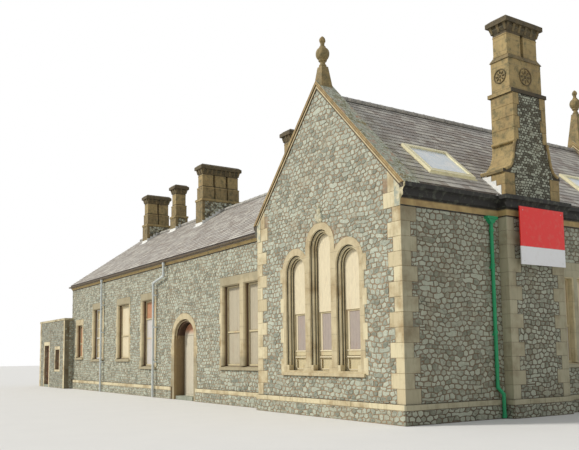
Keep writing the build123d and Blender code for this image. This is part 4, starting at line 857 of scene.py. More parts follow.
def rubble(target, plane, left, right, low, high, holes, seed, cuts=(), scale=1.0):
    """Cover part of a wall face with rubble stones and add them to the target mesh.

    Each cut is a point and an outward direction in the face's own plane: what lies beyond it goes.
    """
    size, rng = sizes(), random.Random(seed)
    mesh = bonded_field(left, right, low, high, size.stone_length * scale, size.stone_height * scale, rng, seed)
    sides = [((left, 0), (-1, 0)), ((right, 0), (1, 0)), ((0, low), (0, -1)), ((0, high), (0, 1))]
    for point, out in (*sides, *cuts):
        cut_along(mesh, mesh.faces[:], point, out, True)
    for hole in holes:
        cut_hole(mesh, hole)
    bmesh.ops.split_edges(mesh, edges=mesh.edges[:])
    dress_rubble(mesh, rng, size.stone_proud * scale ** 0.5, size.mortar * scale ** 0.5, 0.009 * scale)
    add_to(target, mesh, plane)


def quoin_spans(low, high, long_first=True, long=None, short=None):
    """Foot, head and the two lengths of each corner block."""
    size = sizes()
    pair = (long or size.quoin_long, short or size.quoin_short)
    spans = steps(low, high, size.quoin_height)
    return [(*span, *(pair if (i % 2 == 0) == long_first else pair[::-1])) for i, span in enumerate(spans)]


def corner_blocks(mesh, corner, outward, spans, rng, proud=0.012, deepest=9):
    """Corner blocks that wrap the arris at a corner; outward gives the two sides they stand proud on."""
    (x, y), (sx, sy) = corner, outward
    for foot, head, along_x, along_y in spans:
        outer = (x + sx * (proud + rng.uniform(0, 0.004)), y + sy * (proud + rng.uniform(0, 0.004)))
        inner = (x - sx * along_x, y - sy * min(along_y, deepest))
        box(mesh, (*outer, foot + BED), (*inner, head - BED), rng.random())


def corner_holes(edge, inward, spans, which):
    """Holes that a column of corner blocks leaves in a face's rubble."""
    return [square_hole(edge - inward * 0.01, edge + inward * (span[2 + which] + 0.01), *span[:2])
            for span in spans]


def window_hole(window, flip=1):
    """Hole for a window of the range with its jambs, sill and lintel."""
    centre, width, foot, head = window[:4]
    half = width / 2 + SURROUND - 0.005
    return square_hole(flip * centre - half, flip * centre + half, foot - SILL, head + LINTEL)


def gable_cuts(pitch=COPING_PITCH, middle=0, apex=COPING_APEX - COPING_FACE - 0.01):
    """Cuts of a gable's rubble along its two slopes."""
    across, up = math.sin(pitch), math.cos(pitch)
    return [((middle, apex), (across, up)), ((middle, apex), (-across, up))]


def wing_surface(x):
    return WING_RIDGE - math.tan(WING_PITCH) * abs(x)


def range_surface(y):
    return RANGE_RIDGE - math.tan(RANGE_PITCH) * abs(y - RANGE_MIDDLE)


class StationOperator:
    """Shared settings of the operators."""

    bl_options = {"REGISTER"}


class STATION_OT_wing_walls(StationOperator, bpy.types.Operator):
    """Rubble, corner blocks and kneelers of the gabled wing"""

    bl_idname = "station.wing_walls"
    bl_label = "Wing walls"

    def execute(self, context):
        stones, sides, blocks = new_meshes(3)
        rng = random.Random(11)
        spans = quoin_spans(PLINTH_TOP, CORNICE_FOOT, False)
        near = quoin_spans(PLINTH_TOP, CORNICE_FOOT, False, 0.5, 0.3)
        edge = SURROUND - 0.01
        lights = [(x, LANCET_HALF + edge, LANCET_FOOT - 0.145, crown - LANCET_HALF, crown + edge)
                  for x, crown in LANCETS]
        window_foot, window_head = SIDE_WINDOW[1] - SILL, SIDE_WINDOW[2] + 0.46
        pair = [square_hole(-0.9, 0.9, window_foot, window_head)]
        corners = corner_holes(HALF, -1, near, 0) + corner_holes(-HALF, 1, spans, 0)
        corners += [square_hole(side * KNEELER, side * HALF, CORNICE_FOOT, 6.2) for side in (1, -1)]
        for target, plane, holes, seed, scale in ((stones, facing("front", FRONT), lights, 3, 1.0),
                                                  (sides, facing("rear", REAR), pair, 4, 1.3)):
            rubble(target, plane, -HALF, HALF, PLINTH_TOP, 9.6, corners + holes, seed, gable_cuts(), scale)
        holes = [square_hole(y - 0.895, y + 0.895, window_foot, window_head) for y in SIDE_WINDOWS]
        holes += corner_holes(FRONT, 1, near, 1) + corner_holes(REAR, -1, near, 1)
        holes.append(square_hole(BREAST_NEAR, BREAST_FAR, 0, 6))
        rubble(sides, facing("right", HALF), FRONT, REAR, PLINTH_TOP, CORNICE_FOOT, holes, 5)
        holes = corner_holes(-REAR, 1, spans, 1)
        rubble(sides, facing("left", -HALF), -REAR, -RANGE_REAR, PLINTH_TOP, CORNICE_FOOT, holes, 6, scale=1.3)
        corner_blocks(blocks, (HALF, FRONT), (1, -1), near, rng)
        corner_blocks(blocks, (-HALF, FRONT), (-1, -1), spans, rng, deepest=RANGE_FRONT - FRONT - 0.014)
        corner_blocks(blocks, (HALF, REAR), (1, 1), near, rng)
        corner_blocks(blocks, (-HALF, REAR), (-1, 1), spans, rng)
        for end, out in ((FRONT, -0.014), (REAR, 0.014)):
            for side in (-1, 1):
                for inner, foot, head in ((KNEELER, CORNICE_FOOT, 5.83), (3.04, 5.83, 6.6)):
                    part = new_mesh()
                    box(part, (side * inner, end + out, foot + BED),
                        (side * (HALF - 0.002), end - 20 * out, head - BED), rng.random())
                    trim(part, (0, 0, COPING_APEX - COPING_FACE - 0.004),
                         (side * math.tan(COPING_PITCH), 0, 1))
                    add_to(blocks, part)
        soften(blocks, 0.007)
        piece("wing_front_rubble", stones, "rubble")
        piece("wing_side_rubble", sides, "rubble")
        piece("wing_quoins", blocks, "ashlar")
        return {"FINISHED"}


class STATION_OT_range_walls(StationOperator, bpy.types.Operator):
    """Rubble of the long range, with window and door surrounds left clear"""

    bl_idname = "station.range_walls"
    bl_label = "Range walls"

    def execute(self, context):
        front, rear = new_meshes(2)
        door = (DOOR_HALF + 0.22, 0, DOOR_SPRING, DOOR_CROWN + 0.22)
        holes = [window_hole(window) for window in WINDOWS] + [(DOOR_X, *door)]
        rubble(front, facing("front", RANGE_FRONT), RANGE_LEFT, -HALF, PLINTH_TOP, EAVES_FOOT, holes, 7)
        holes = [window_hole(window, -1) for window in WINDOWS[1:]] + [(-DOOR_X, *door)]
        rubble(rear, facing("rear", RANGE_REAR), HALF, -RANGE_LEFT, PLINTH_TOP, EAVES_FOOT, holes, 8, scale=1.3)
        cuts = gable_cuts(RANGE_PITCH, -RANGE_MIDDLE, RANGE_RIDGE - 0.19)
        rubble(rear, facing("left", RANGE_LEFT), -RANGE_REAR, -RANGE_FRONT, PLINTH_TOP, 8.8, [], 9, cuts, 1.3)
        piece("range_front_rubble", front, "rubble")
        piece("range_rear_rubble", rear, "rubble")
        return {"FINISHED"}


class STATION_OT_plinth(StationOperator, bpy.types.Operator):
    """Rubble foot of the walls under a dressed weathering course"""

    bl_idname = "station.plinth"
    bl_label = "Plinth"

    def execute(self, context):
        stones, blocks = new_meshes(2)
        rng, out, door = random.Random(21), 0.06, DOOR_HALF + 0.23
        runs = [
            ("front", FRONT - out, -HALF - out, HALF + out),
            ("rear", REAR + out, -HALF - out, HALF + out),
            ("right", HALF + out, FRONT - out, BREAST_NEAR - out),
            ("right", HALF + out, BREAST_FAR + out, REAR + out),
            ("right", BREAST_FACE + out, BREAST_NEAR - out, BREAST_FAR + out),
            ("front", BREAST_NEAR - out, HALF + out, BREAST_FACE + out),
            ("rear", BREAST_FAR + out, -BREAST_FACE - out, -HALF - out),
            ("front", RANGE_FRONT - out, ANNEXE_RIGHT, DOOR_X - door),
            ("front", RANGE_FRONT - out, DOOR_X + door, -HALF - out),
            ("rear", RANGE_REAR + out, HALF + out, -DOOR_X - door),
            ("rear", RANGE_REAR + out, -DOOR_X + door, -RANGE_LEFT + out),
            ("left", RANGE_LEFT - out, -RANGE_REAR - out, -ANNEXE_REAR),
            ("left", -HALF - out, -REAR - out, -RANGE_REAR - out),
        ]
        for seed, (side, value, start, stop) in enumerate(runs, 30):
            plane = facing(side, value)
            rubble(stones, plane, start, stop, 0.0, 0.36, [], seed)
            for low, high in steps(start, stop, 0.7):
                box(blocks, (low + 0.002, 0.362, -0.1), (high - 0.002, PLINTH_TOP, 0.016), rng.random() * 0.6,
                    plane)
        soften(blocks, 0.012)
        piece("plinth_rubble", stones, "rubble")
        piece("plinth_weathering", blocks, "ashlar")
        return {"FINISHED"}


class STATION_OT_breast(StationOperator, bpy.types.Operator):
    """Rubble, corner blocks and scroll rolls of the chimney breast and of the stack above it"""

    bl_idname = "station.breast"
    bl_label = "Breast and stack"

    def execute(self, context):
        stones, sooty, blocks, brown = new_meshes(4)
        rng, plane = random.Random(41), facing("right", BREAST_FACE)
        breast = [(foot, head, 0.285, along)
                  for foot, head, _, along in quoin_spans(PLINTH_TOP, CORNICE_FOOT, True, 0.5, 0.28)]
        base = [(foot, head, 0.81, 0.4) for foot, head, _, _ in quoin_spans(6.02, SHOULDER)]
        shaft = [(foot, head, 0.78, 0.24 if i % 2 else 0.17)
                 for i, (foot, head, _, _) in enumerate(quoin_spans(SHAFT_FOOT, SHAFT_TOP))]
        for field, corners, near, far, spans, proud, seed, scale in (
            (stones, blocks, BREAST_NEAR, BREAST_FAR, breast, 0.012, 42, 1.0),
            (sooty, brown, STACK_Y - BASE_HALF, STACK_Y + BASE_HALF, base, 0.008, 43, 0.6),
            (sooty, brown, STACK_Y - SHAFT_HALF, STACK_Y + SHAFT_HALF, shaft, 0.01, 45, 0.6),
        ):
            corner_blocks(corners, (BREAST_FACE, near), (1, -1), spans, rng, proud)
            corner_blocks(corners, (BREAST_FACE, far), (1, 1), spans, rng, proud)
            holes = corner_holes(near, 1, spans, 1) + corner_holes(far, -1, spans, 1)
            rubble(field, plane, near, far, spans[0][0], spans[-1][1], holes, seed, scale=scale)
        scroll = [((STACK_Y + side * 0.79, 7.0), (side * 0.93, 0.36)) for side in (-1, 1)]
        rubble(sooty, plane, STACK_Y - 0.98, STACK_Y + 0.98, SHOULDER, SHAFT_FOOT, [], 44, scroll, 0.6)
        face = BREAST_FACE + 0.012
        for side in (-1, 1):
            line = [(face, STACK_Y + side * (out - 0.03), height) for out, height in SCROLL]
            for start, end in zip(line, line[1:]):
                cylinder(brown, start, end, 0.042, 8)
            y = STACK_Y + side * 0.7
            cylinder(brown, (STACK_X - 0.38, y, 7.64), (BREAST_FACE + 0.045, y, 7.64), 0.055, 12)
        soften(blocks, 0.007)
        soften(brown, 0.006)
        piece("breast_rubble", stones, "rubble")
        piece("stack_rubble", sooty, "stack rubble")
        piece("breast_quoins", blocks, "ashlar")
        piece("stack_quoins", brown, "brown ashlar")
        return {"FINISHED"}


def rosette(mesh, plane, radius):
    """Carved roundel: a ring, petals and a boss, standing on an upright face."""
    part = new_mesh()
    place = Matrix.Translation((radius, 0, 0.01)) @ Matrix.Rotation(math.pi / 2, 4, "X")
    ring = bmesh.ops.create_circle(part, cap_ends=False, segments=6, radius=0.022, matrix=place)["verts"]
    turn_about(part, ring + part.edges[:], 24)
    for i in range(8):
        turn = Matrix.Rotation(i * math.pi / 4, 4, "Z") @ Matrix.Translation((radius * 0.56, 0, 0.008))
        ball(part, turn, (radius * 0.3, radius * 0.15, 0.028), 1)
    ball(part, Matrix(), (radius * 0.22, radius * 0.22, 0.035))
    paint_tone(part, part.verts, 0.7)
    add_to(mesh, part, plane)


def cap_brackets(mesh, x, y, half_x, half_y, foot, height, rng):
    """Carved brackets that carry a chimney cap on all four sides."""
    out = 0.11
    for side, place, half, middle in (
        ("front", y - half_y, half_x, x), ("rear", y + half_y, half_x, -x),
        ("right", x + half_x, half_y, y), ("left", x - half_x, half_y, -y),
    ):
        gaps = max(1, round(2 * half / 0.24))
        for i in range(gaps + 1):
            along = middle - half + 2 * half * i / gaps
            part = new_mesh()
            box(part, (along - 0.045, foot, -0.03), (along + 0.045, foot + height, out), rng.random())
            for vert in part.verts:
                if vert.co.y < foot + 0.01 and vert.co.z > 0:
                    vert.co.z = out * 0.25
            add_to(mesh, part, facing(side, place))


class STATION_OT_stack_carving(StationOperator, bpy.types.Operator):
    """Bands, roundels, cap brackets and side rubble of the main stack and the ridge chimneys"""

    bl_idname = "station.stack_carving"
    bl_label = "Chimney carving"

    def execute(self, context):
        carving, caps, stones = new_meshes(3)
        rng = random.Random(51)
        stage = Matrix.Translation((STACK_X, STACK_Y, (STAGE_FOOT + STAGE_TOP) / 2))
        flank = 0.325
        for side, place, radius in (("front", -SHAFT_HALF, 0.2), ("rear", SHAFT_HALF, 0.2),
                                    ("right", flank, 0.25), ("left", -flank, 0.25)):
            rosette(caps, stage @ facing(side, place), radius)
        thick, wide = FLUE_THICK / 2, FLUE_WIDTH / 2

        def flue_ring(x, y, low, high):
            box(carving, (x - thick - 0.01, y - wide - 0.01, low),
                (x + thick + 0.01, y + wide + 0.01, high), 0.4)

        cap_brackets(caps, STACK_X, STACK_Y, thick, 0.645, CAP_FOOT + 0.02, 0.2, rng)
        for y in (STACK_Y - 0.355, STACK_Y + 0.355):
            flue_ring(STACK_X, y, FLUE_FOOT, FLUE_FOOT + 0.05)
            flue_ring(STACK_X, y, CAP_FOOT - 0.1, CAP_FOOT - 0.06)
        for i, (x, flues) in enumerate(CHIMNEYS):
            half = ((flues - 1) * FLUE_PITCH + FLUE_WIDTH) / 2
            cap_brackets(caps, x, RANGE_MIDDLE, thick, half, RIDGE_CAP_FOOT + 0.02, 0.225, rng)
            for j in range(flues):
                y = RANGE_MIDDLE + (j - (flues - 1) / 2) * FLUE_PITCH
                flue_ring(x, y, RIDGE_CAP_FOOT - 0.1, RIDGE_CAP_FOOT - 0.06)
                box(carving, (x - 0.335, y - 0.325, RIDGE_STAGE_TOP - 0.06),
                    (x + 0.335, y + 0.325, RIDGE_STAGE_TOP - 0.005), 0.1)
            inner = base_half(flues) - 0.13
            for j, (side, flip) in enumerate((("right", 1), ("left", -1))):
                middle = flip * RANGE_MIDDLE
                rubble(stones, facing(side, x + flip * 0.365), middle - inner, middle + inner, 8.0,
                       RIDGE_BASE_TOP - 0.12, [], 60 + 2 * i + j, scale=0.8)
        soften(carving, 0.005)
        soften(caps, 0.012)
        piece("stack_carving", carving, "brown ashlar")
        piece("cap_brackets", caps, "bracket")
        piece("chimney_rubble", stones, "stack rubble")
        return {"FINISHED"}


def base_half(flues):
    """Half the length of a ridge chimney's base."""
    return (flues * FLUE_PITCH + 0.03) / 2


def slate_slope(target, plane, left, right, length_down, holes, seed, keep=None, moss=None):
    """Cover one slope with lapped slates, in staggered courses from the eaves up."""
    size, rng, mesh = sizes(), random.Random(seed), new_mesh()
    courses = math.ceil(length_down / size.slate_gauge)
    gauge = length_down / courses
    for course in range(courses):
        foot = -length_down + course * gauge
        head = foot + gauge * 1.2
        for low, high in free_runs(left, right, holes, foot + gauge / 2):
            start = low - (0.5 * size.slate_width if course % 2 else 0)
            count = math.ceil((high - start) / size.slate_width)
            row = bmesh.ops.create_grid(mesh, x_segments=count, y_segments=1, size=0.5)["verts"]
            for vert in row:
                column = round((vert.co.x + 0.5) * count)
                along = min(max(start + column * size.slate_width, low), high)
                sag = 0.055 * noise.noise(Vector((along * 0.6, foot * 1.1, seed))) if course else 0
                lower = vert.co.y < 0
                vert.co = (along, foot + sag if lower else min(head + sag, -0.02), 0.02 if lower else 0.003)
    bmesh.ops.split_edges(mesh, edges=mesh.edges[:])
    bad = [face for face in mesh.faces if face.calc_area() < 0.004
           or (keep and not keep(plane @ face.calc_center_median()))]
    bmesh.ops.delete(mesh, geom=bad, context="FACES")
    moss_layer = mesh.verts.layers.float["moss"]
    for face in mesh.faces:
        paint_tone(mesh, face.verts, rng.random())
        slipped = rng.random() < 0.006
        growth = moss(plane @ face.calc_center_median()) if moss else 0
        for vert in face.verts:
            vert.co.z += rng.uniform(0, 0.002)
            vert[moss_layer] = growth
            if slipped:
                vert.co.y -= 0.05
                vert.co.z += 0.006
    rings = bmesh.ops.inset_individual(mesh, faces=mesh.faces[:], thickness=0.0025, use_even_offset=True)
    bmesh.ops.delete(mesh, geom=rings["faces"], context="FACES")
    extrude(mesh, whole(mesh), (0, 0, 0.007), True)
    add_to(target, mesh, plane)


class STATION_OT_slates(StationOperator, bpy.types.Operator):
    """Slates of the wing and the range"""

    bl_idname = "station.slates"
    bl_label = "Slates"

    def execute(self, context):
        wing, front, rear = new_meshes(3)
        wide, top, tall = SKYLIGHT
        holes = [square_hole(start - 0.06, start + wide + 0.06, -top - tall - 0.05, -top + 0.06)
                 for start in SKYLIGHTS]
        holes.append(square_hole(STACK_Y - 1.16, STACK_Y + 1.16, -6, 0.03 - STACK_BACK / math.cos(WING_PITCH)))

        def near_coping(point):
            return max(0.0, 1 - (point.y - 0.2) / 1.3) * (0.5 + 0.5 * max(0.0, 1 - (point.z - 6) / 2))

        def above_range(point):
            return point.z > range_surface(point.y) - 0.05

        def beyond_valley(point):
            return point.x < -3.6 or point.z > wing_surface(point.x) - 0.05

        down = 3.62 / math.cos(WING_PITCH)
        for side, ends, gaps, seed, *rules in (("right", (0.2, 11.7), holes, 71, None, near_coping),
                                               ("left", (-11.7, -0.2), [], 72, above_range)):
            slate_slope(wing, slope(side, WING_PITCH, 0, WING_RIDGE), *ends, down, gaps, seed, *rules)
        down = (RANGE_MIDDLE - EAVES_EDGE + 0.05) / math.cos(RANGE_PITCH)
        for target, side, flip, seed in ((front, "front", 1, 73), (rear, "rear", -1, 74)):
            stacks = [square_hole(flip * x - 0.38, flip * x + 0.38,
                                  -base_half(flues) / math.cos(RANGE_PITCH) - 0.02, 0.5)
                      for x, flues in CHIMNEYS]
            ends = sorted((flip * (RANGE_LEFT - 0.1), 0))
            plane = slope(side, RANGE_PITCH, RANGE_MIDDLE, RANGE_RIDGE)
            slate_slope(target, plane, *ends, down, stacks, seed, beyond_valley)
        piece("wing_slates", wing, "slate")
        piece("range_front_slates", front, "slate")
        piece("range_rear_slates", rear, "slate")
        return {"FINISHED"}


class STATION_OT_ridges(StationOperator, bpy.types.Operator):
    """Collars of the ridge tiles"""

    bl_idname = "station.ridges"
    bl_label = "Ridge tiles"

    def execute(self, context):
        tiles = new_mesh()
        lift = 0.024
        for i in range(26):
            y = 0.3 + i * RIDGE_TILE
            cylinder(tiles, (0, y, WING_RIDGE + lift), (0, y + 0.05, WING_RIDGE + lift), 0.101, 16)
        x = RANGE_LEFT
        while x < -0.9:
            if all(abs(x + 0.025 - place) > 0.4 for place, _ in CHIMNEYS):
                start = Vector((x, RANGE_MIDDLE, RANGE_RIDGE + lift))
                cylinder(tiles, start, start + Vector((0.05, 0, 0)), 0.101, 16)
            x += RIDGE_TILE
        soften(tiles, 0.005)
        piece("ridge_collars", tiles, "tile")
        return {"FINISHED"}


class STATION_OT_finials(StationOperator, bpy.types.Operator):
    """Carved finials on both gables"""

    bl_idname = "station.finials"
    bl_label = "Finials"

    def execute(self, context):
        carved = new_mesh()
        for middle, y, half in ((COPING_APEX + 0.86, -0.075, 0.21), (COPING_APEX + 1.5, 11.975, 0.27)):
            low, high, foot = middle - 0.17, middle + 0.17, middle - 0.41
            angles = [math.radians(-60 + 10 * i) for i in range(13)]
            profile = [
                *((radius, foot + rise) for radius, rise in FINIAL_FOOT),
                *((radius, low + rise) for radius, rise in FINIAL_NECK),
                *((0.208 * math.cos(angle) ** 0.7, middle + 0.195 * math.sin(angle)) for angle in angles),
                *((radius, high + rise) for radius, rise in FINIAL_BUD),
            ]
            part = new_mesh()
            verts = [part.verts.new((radius, 0, height)) for radius, height in profile]
            edges = [part.edges.new(pair) for pair in zip(verts, verts[1:])]
            turn_about(part, verts + edges, 32)
            bmesh.ops.remove_doubles(part, verts=part.verts[:], dist=0.0004)
            for vert in part.verts:
                share = max(0.0, 1 - abs(vert.co.z - middle) / 0.17)
                bud = max(0.0, 1 - abs(vert.co.z - high - 0.245) / 0.11)
                lobes = math.cos(4 * math.atan2(vert.co.y, vert.co.x))
                vert.co.xy *= min(1 + 0.07 * share * (abs(lobes) - 1) + 0.1 * bud * lobes, 1)
            base = COPING_APEX - math.tan(COPING_PITCH) * half - 0.02
            for vert in box(part, (-half, -half, base), (half, half, foot)):
                if vert.co.z > foot - 0.01:
                    vert.co.xy *= 0.115 / half
            shift(part, 0, y, 0)
            paint_tone(part, part.verts, 0.45)
            add_to(carved, part)
        piece("carved_finials", carved, "finial", replaced=("finials",))
        return {"FINISHED"}


def arch_rod(mesh, centre, half, foot, spring, depth, radius, sides=8):
    """Thin roll moulding that runs up a jamb, round an arch and down the other jamb."""
    part = new_mesh()
    place = Matrix.Translation((half, depth, foot - spring))
    bmesh.ops.create_circle(part, cap_ends=True, segments=sides, radius=radius, matrix=place)
    extrude(part, part.faces[:], (0, 0, spring - foot))
    ends = [face for face in part.faces if all(abs(vert.co.z) < 1e-5 for vert in face.verts)]
    edges = [edge for face in ends for edge in face.edges]
    verts = [vert for face in ends for vert in face.verts]
    spun = turn_about(part, ends + edges + verts, 18, math.pi, (0, depth, 0), (0, -1, 0))
    extrude(part, only(bmesh.types.BMFace, spun["geom_last"]), (0, 0, foot - spring))
    bmesh.ops.remove_doubles(part, verts=part.verts[:], dist=0.0005)
    shift(part, centre, 0, spring)
    paint_tone(part, part.verts, 0.1)
    add_to(mesh, part)


class STATION_OT_lancets(StationOperator, bpy.types.Operator):
    """Roll mouldings, carved leaf, bonding stones, boards and sashes of the three gable lights"""

    bl_idname = "station.lancets"
    bl_label = "Gable lights"

    def execute(self, context):
        rolls, bonds, boards, planks, rails = new_meshes(5)
        rng, front = random.Random(81), FRONT + 0.24
        outer = LANCET_HALF + SURROUND
        for edge, outward in ((LANCETS[0][0] - outer, -1), (LANCETS[2][0] + outer, 1)):
            for i in range(0, 7, 2):
                foot = 1.2 + i * 0.46
                box(bonds, (edge - outward * 0.08, FRONT - 0.017, foot),
                    (edge + outward * 0.11, FRONT + 0.05, foot + 0.44), rng.random() * 0.5)
        half, sash = LANCET_HALF - 0.124, LANCET_HALF - 0.252
        for centre, crown in LANCETS:
            spring = crown - LANCET_HALF
            for reach, depth, radius, sides in LANCET_ROLLS:
                arch_rod(rolls, centre, reach, LANCET_FOOT, spring, FRONT + depth, radius, sides)
            board = new_mesh()
            bmesh.ops.create_circle(board, cap_ends=True, segments=40, radius=half,
                                    matrix=Matrix.Rotation(math.pi / 2, 4, "X"))
            bmesh.ops.bisect_plane(board, geom=whole(board), plane_co=(0, 0, 0), plane_no=(0, 0, -1),
                                   clear_outer=True)
            feet = [edge for edge in board.edges if all(abs(vert.co.z) < 1e-5 for vert in edge.verts)]
            grown = bmesh.ops.extrude_edge_only(board, edges=feet)["geom"]
            bmesh.ops.translate(board, vec=(0, 0, BOARD_FOOT - spring), verts=only(bmesh.types.BMVert, grown))
            extrude(board, board.faces[:], (0, 0.026, 0), True)
            shift(board, centre, front - 0.028, spring)
            paint_tone(board, board.verts, rng.random())
            add_to(boards, board)
            for near, far, low, high in ((0.034, 0.005, BOARD_FOOT - 0.025, BOARD_FOOT),
                                         (0.02, 0.01, 1.84, 1.88), (0.03, 0.01, 1.66, 1.7)):
                box(rails, (centre - half, front - near, low), (centre + half, front + far, high), 0.2)
            box(rails, (centre - half + 0.05, front - 0.012, 1.32),
                (centre + half - 0.05, front + 0.01, 1.35), 0.2)
            for side in (-1, 1):
                places = (LANCET_HALF - 0.0585, sash + 0.035, half - 0.06)
                jamb, stile, post = (centre + side * place for place in places)
                box(rolls, (jamb - 0.075, FRONT - 0.012, LANCET_FOOT),
                    (jamb + 0.075, FRONT + 0.15, LANCET_FOOT + 0.16), 0.6)
                box(rails, (stile - 0.035, front + 0.004, 1.88),
                    (stile + 0.035, front + 0.03, BOARD_FOOT - 0.025), 0.4)
                box(rails, (post - 0.02, front - 0.012, 1.35), (post + 0.02, front + 0.01, 1.62), 0.2)
            for low, high in steps(centre - sash, centre + sash, sash / 2):
                box(planks, (low + 0.002, front + 0.018, 1.845), (high - 0.002, front + 0.038, 2.925),
                    rng.random())
        soften(bonds, 0.006)
        soften(rails, 0.004)
        leaf = new_mesh()
        for x, z, wide, tall in ((0, 5.66, 0.1, 0.13), (-0.09, 5.72, 0.08, 0.1), (0.09, 5.72, 0.08, 0.1),
                                 (0, 5.84, 0.075, 0.14), (-0.055, 5.9, 0.045, 0.07), (0.055, 5.9, 0.045, 0.07),
                                 (0, 6.0, 0.045, 0.08), (-0.1, 5.6, 0.06, 0.06), (0.1, 5.6, 0.06, 0.06)):
            ball(leaf, Matrix.Translation((0.002 + x, FRONT - 0.012, z)), (wide, 0.055, tall))
        for vert in leaf.verts:
            vert.co += 0.012 * noise.noise_vector(vert.co * 14)
        paint_tone(leaf, leaf.verts, 0.5)
        piece("light_rolls", rolls, "ashlar")
        piece("light_bonds", bonds, "ashlar")
        piece("light_boards", boards, "cream")
        piece("light_planks", planks, "mauve")
        piece("light_rails", rails, "cream")
        piece("light_leaf", leaf, "coping")
        return {"FINISHED"}


def planked(mesh, plane, left, right, foot, head, depth, rng, thick=0.02):
    """Upright planks in an opening, each a little uneven at its ends and in its thickness."""
    for start, end in steps(left, right, sizes().plank, 2):
        box(mesh, (start + 0.002, foot + rng.uniform(0, 0.008), depth),
            (end - 0.002, head - rng.uniform(0, 0.008), depth + thick + rng.uniform(0, 0.003)),
            rng.random(), plane)


def framed(mesh, plane, left, right, foot, head, rail):
    """Four rails of a frame round an opening and the meeting rail across it."""
    width, back, front = 0.052, -0.188, -0.172
    for low, high in (
        ((left, foot), (left + width, head)), ((right - width, foot), (right, head)),
        ((left + width, foot), (right - width, foot + width)),
        ((left + width, head - width), (right - width, head)),
    ):
        box(mesh, (*low, back), (*high, front), plane=plane)
    box(mesh, (left + 0.058, rail - 0.025, back), (right - 0.058, rail + 0.025, -0.165), plane=plane)


def broken_sash(mesh, plane, left, right, low, high, lean):
    """What is left of a sash: an upright that leans, a crossbar and the stump of another."""
    part, middle = new_mesh(), (left + right) / 2
    for vert in box(part, (middle - 0.014, low, PLANK_BACK), (middle + 0.014, high, PLANK_BACK + 0.03)):
        if vert.co.y > low + 0.1:
            vert.co.x += lean
    for i, reach in ((1, 1), (2, 0.6)):
        height = low + (high - low) * i / 3
        box(part, (left, height - 0.012, PLANK_BACK),
            (left + reach * (right - left), height + 0.012, PLANK_BACK + 0.03))
    add_to(mesh, part, plane)


class STATION_OT_range_windows(StationOperator, bpy.types.Operator):
    """Planks, frames, broken sashes and bonding stones of the windows"""

    bl_idname = "station.range_windows"
    bl_label = "Boarded windows"

    def execute(self, context):
        grey, cream, pale, frames, bars, rusty, bonds = new_meshes(7)
        rng, openings = random.Random(91), []
        broken, split_low = 1, 3
        fillings = ((rusty, rusty), (None, None), (cream, cream), (pale, rusty), (grey, grey), (pale, cream))
        for index, (centre, width, foot, head, mullion) in enumerate(WINDOWS):
            light = (width - mullion) / (2 if mullion else 1)
            away = (light + mullion) / 2
            split = 0.72 if index == split_low else 0.42
            for middle in ((centre - away, centre + away) if mullion else (centre,)):
                openings.append((facing("front", RANGE_FRONT), middle, light, foot, head, split, index))
                if index:
                    openings.append((facing("rear", RANGE_REAR), -middle, light, foot, head, split, index))
        width, foot, head, mullion = SIDE_WINDOW
        light = (width - mullion) / 2
        for away in (-(light + mullion) / 2, (light + mullion) / 2):
            for side, value, y in (*(("right", HALF, y) for y in SIDE_WINDOWS), ("rear", REAR, 0)):
                openings.append((facing(side, value), y + away, light, foot, head, 0.435, len(WINDOWS)))
        for plane, middle, light, foot, head, split, index in openings:
            left, right = middle - light / 2 + 0.062, middle + light / 2 - 0.062
            rail = foot + split * (head - foot)
            parts = (foot + 0.06, rail - 0.03, 0.03), (rail + 0.03, head - 0.06, 0)
            for mesh, (low, high, lean) in zip(fillings[index], parts):
                if mesh is None:
                    broken_sash(bars, plane, left, right, low, high, lean)
                else:
                    planked(mesh, plane, left, right, low + 0.004, high - 0.004, PLANK_BACK, rng)
            framed(bars if index == broken else frames, plane, left - 0.058, right + 0.058, foot + 0.002,
                   head - 0.004, rail)
        for centre, width, foot, head, _ in WINDOWS:
            for side in (-1, 1):
                edge = centre + side * (width / 2 + SURROUND)
                for i in range(0, int((head - foot) / 0.42), 2):
                    low = foot - SILL + i * 0.42
                    box(bonds, (edge - side * 0.05, RANGE_FRONT - 0.016, low),
                        (edge + side * 0.07, RANGE_FRONT + 0.05, low + 0.4), rng.random())
        soften(bonds, 0.006)
        for mesh, name, finish in ((grey, "grey_planks", "grey"), (cream, "cream_planks", "cream"),
                                   (pale, "pale_planks", "pale grey"), (rusty, "rusty_planks", "rusty"),
                                   (frames, "window_frames", "sash"), (bars, "broken_sashes", "white"),
                                   (bonds, "window_bonds", "ashlar")):
            piece(name, mesh, finish)
        return {"FINISHED"}


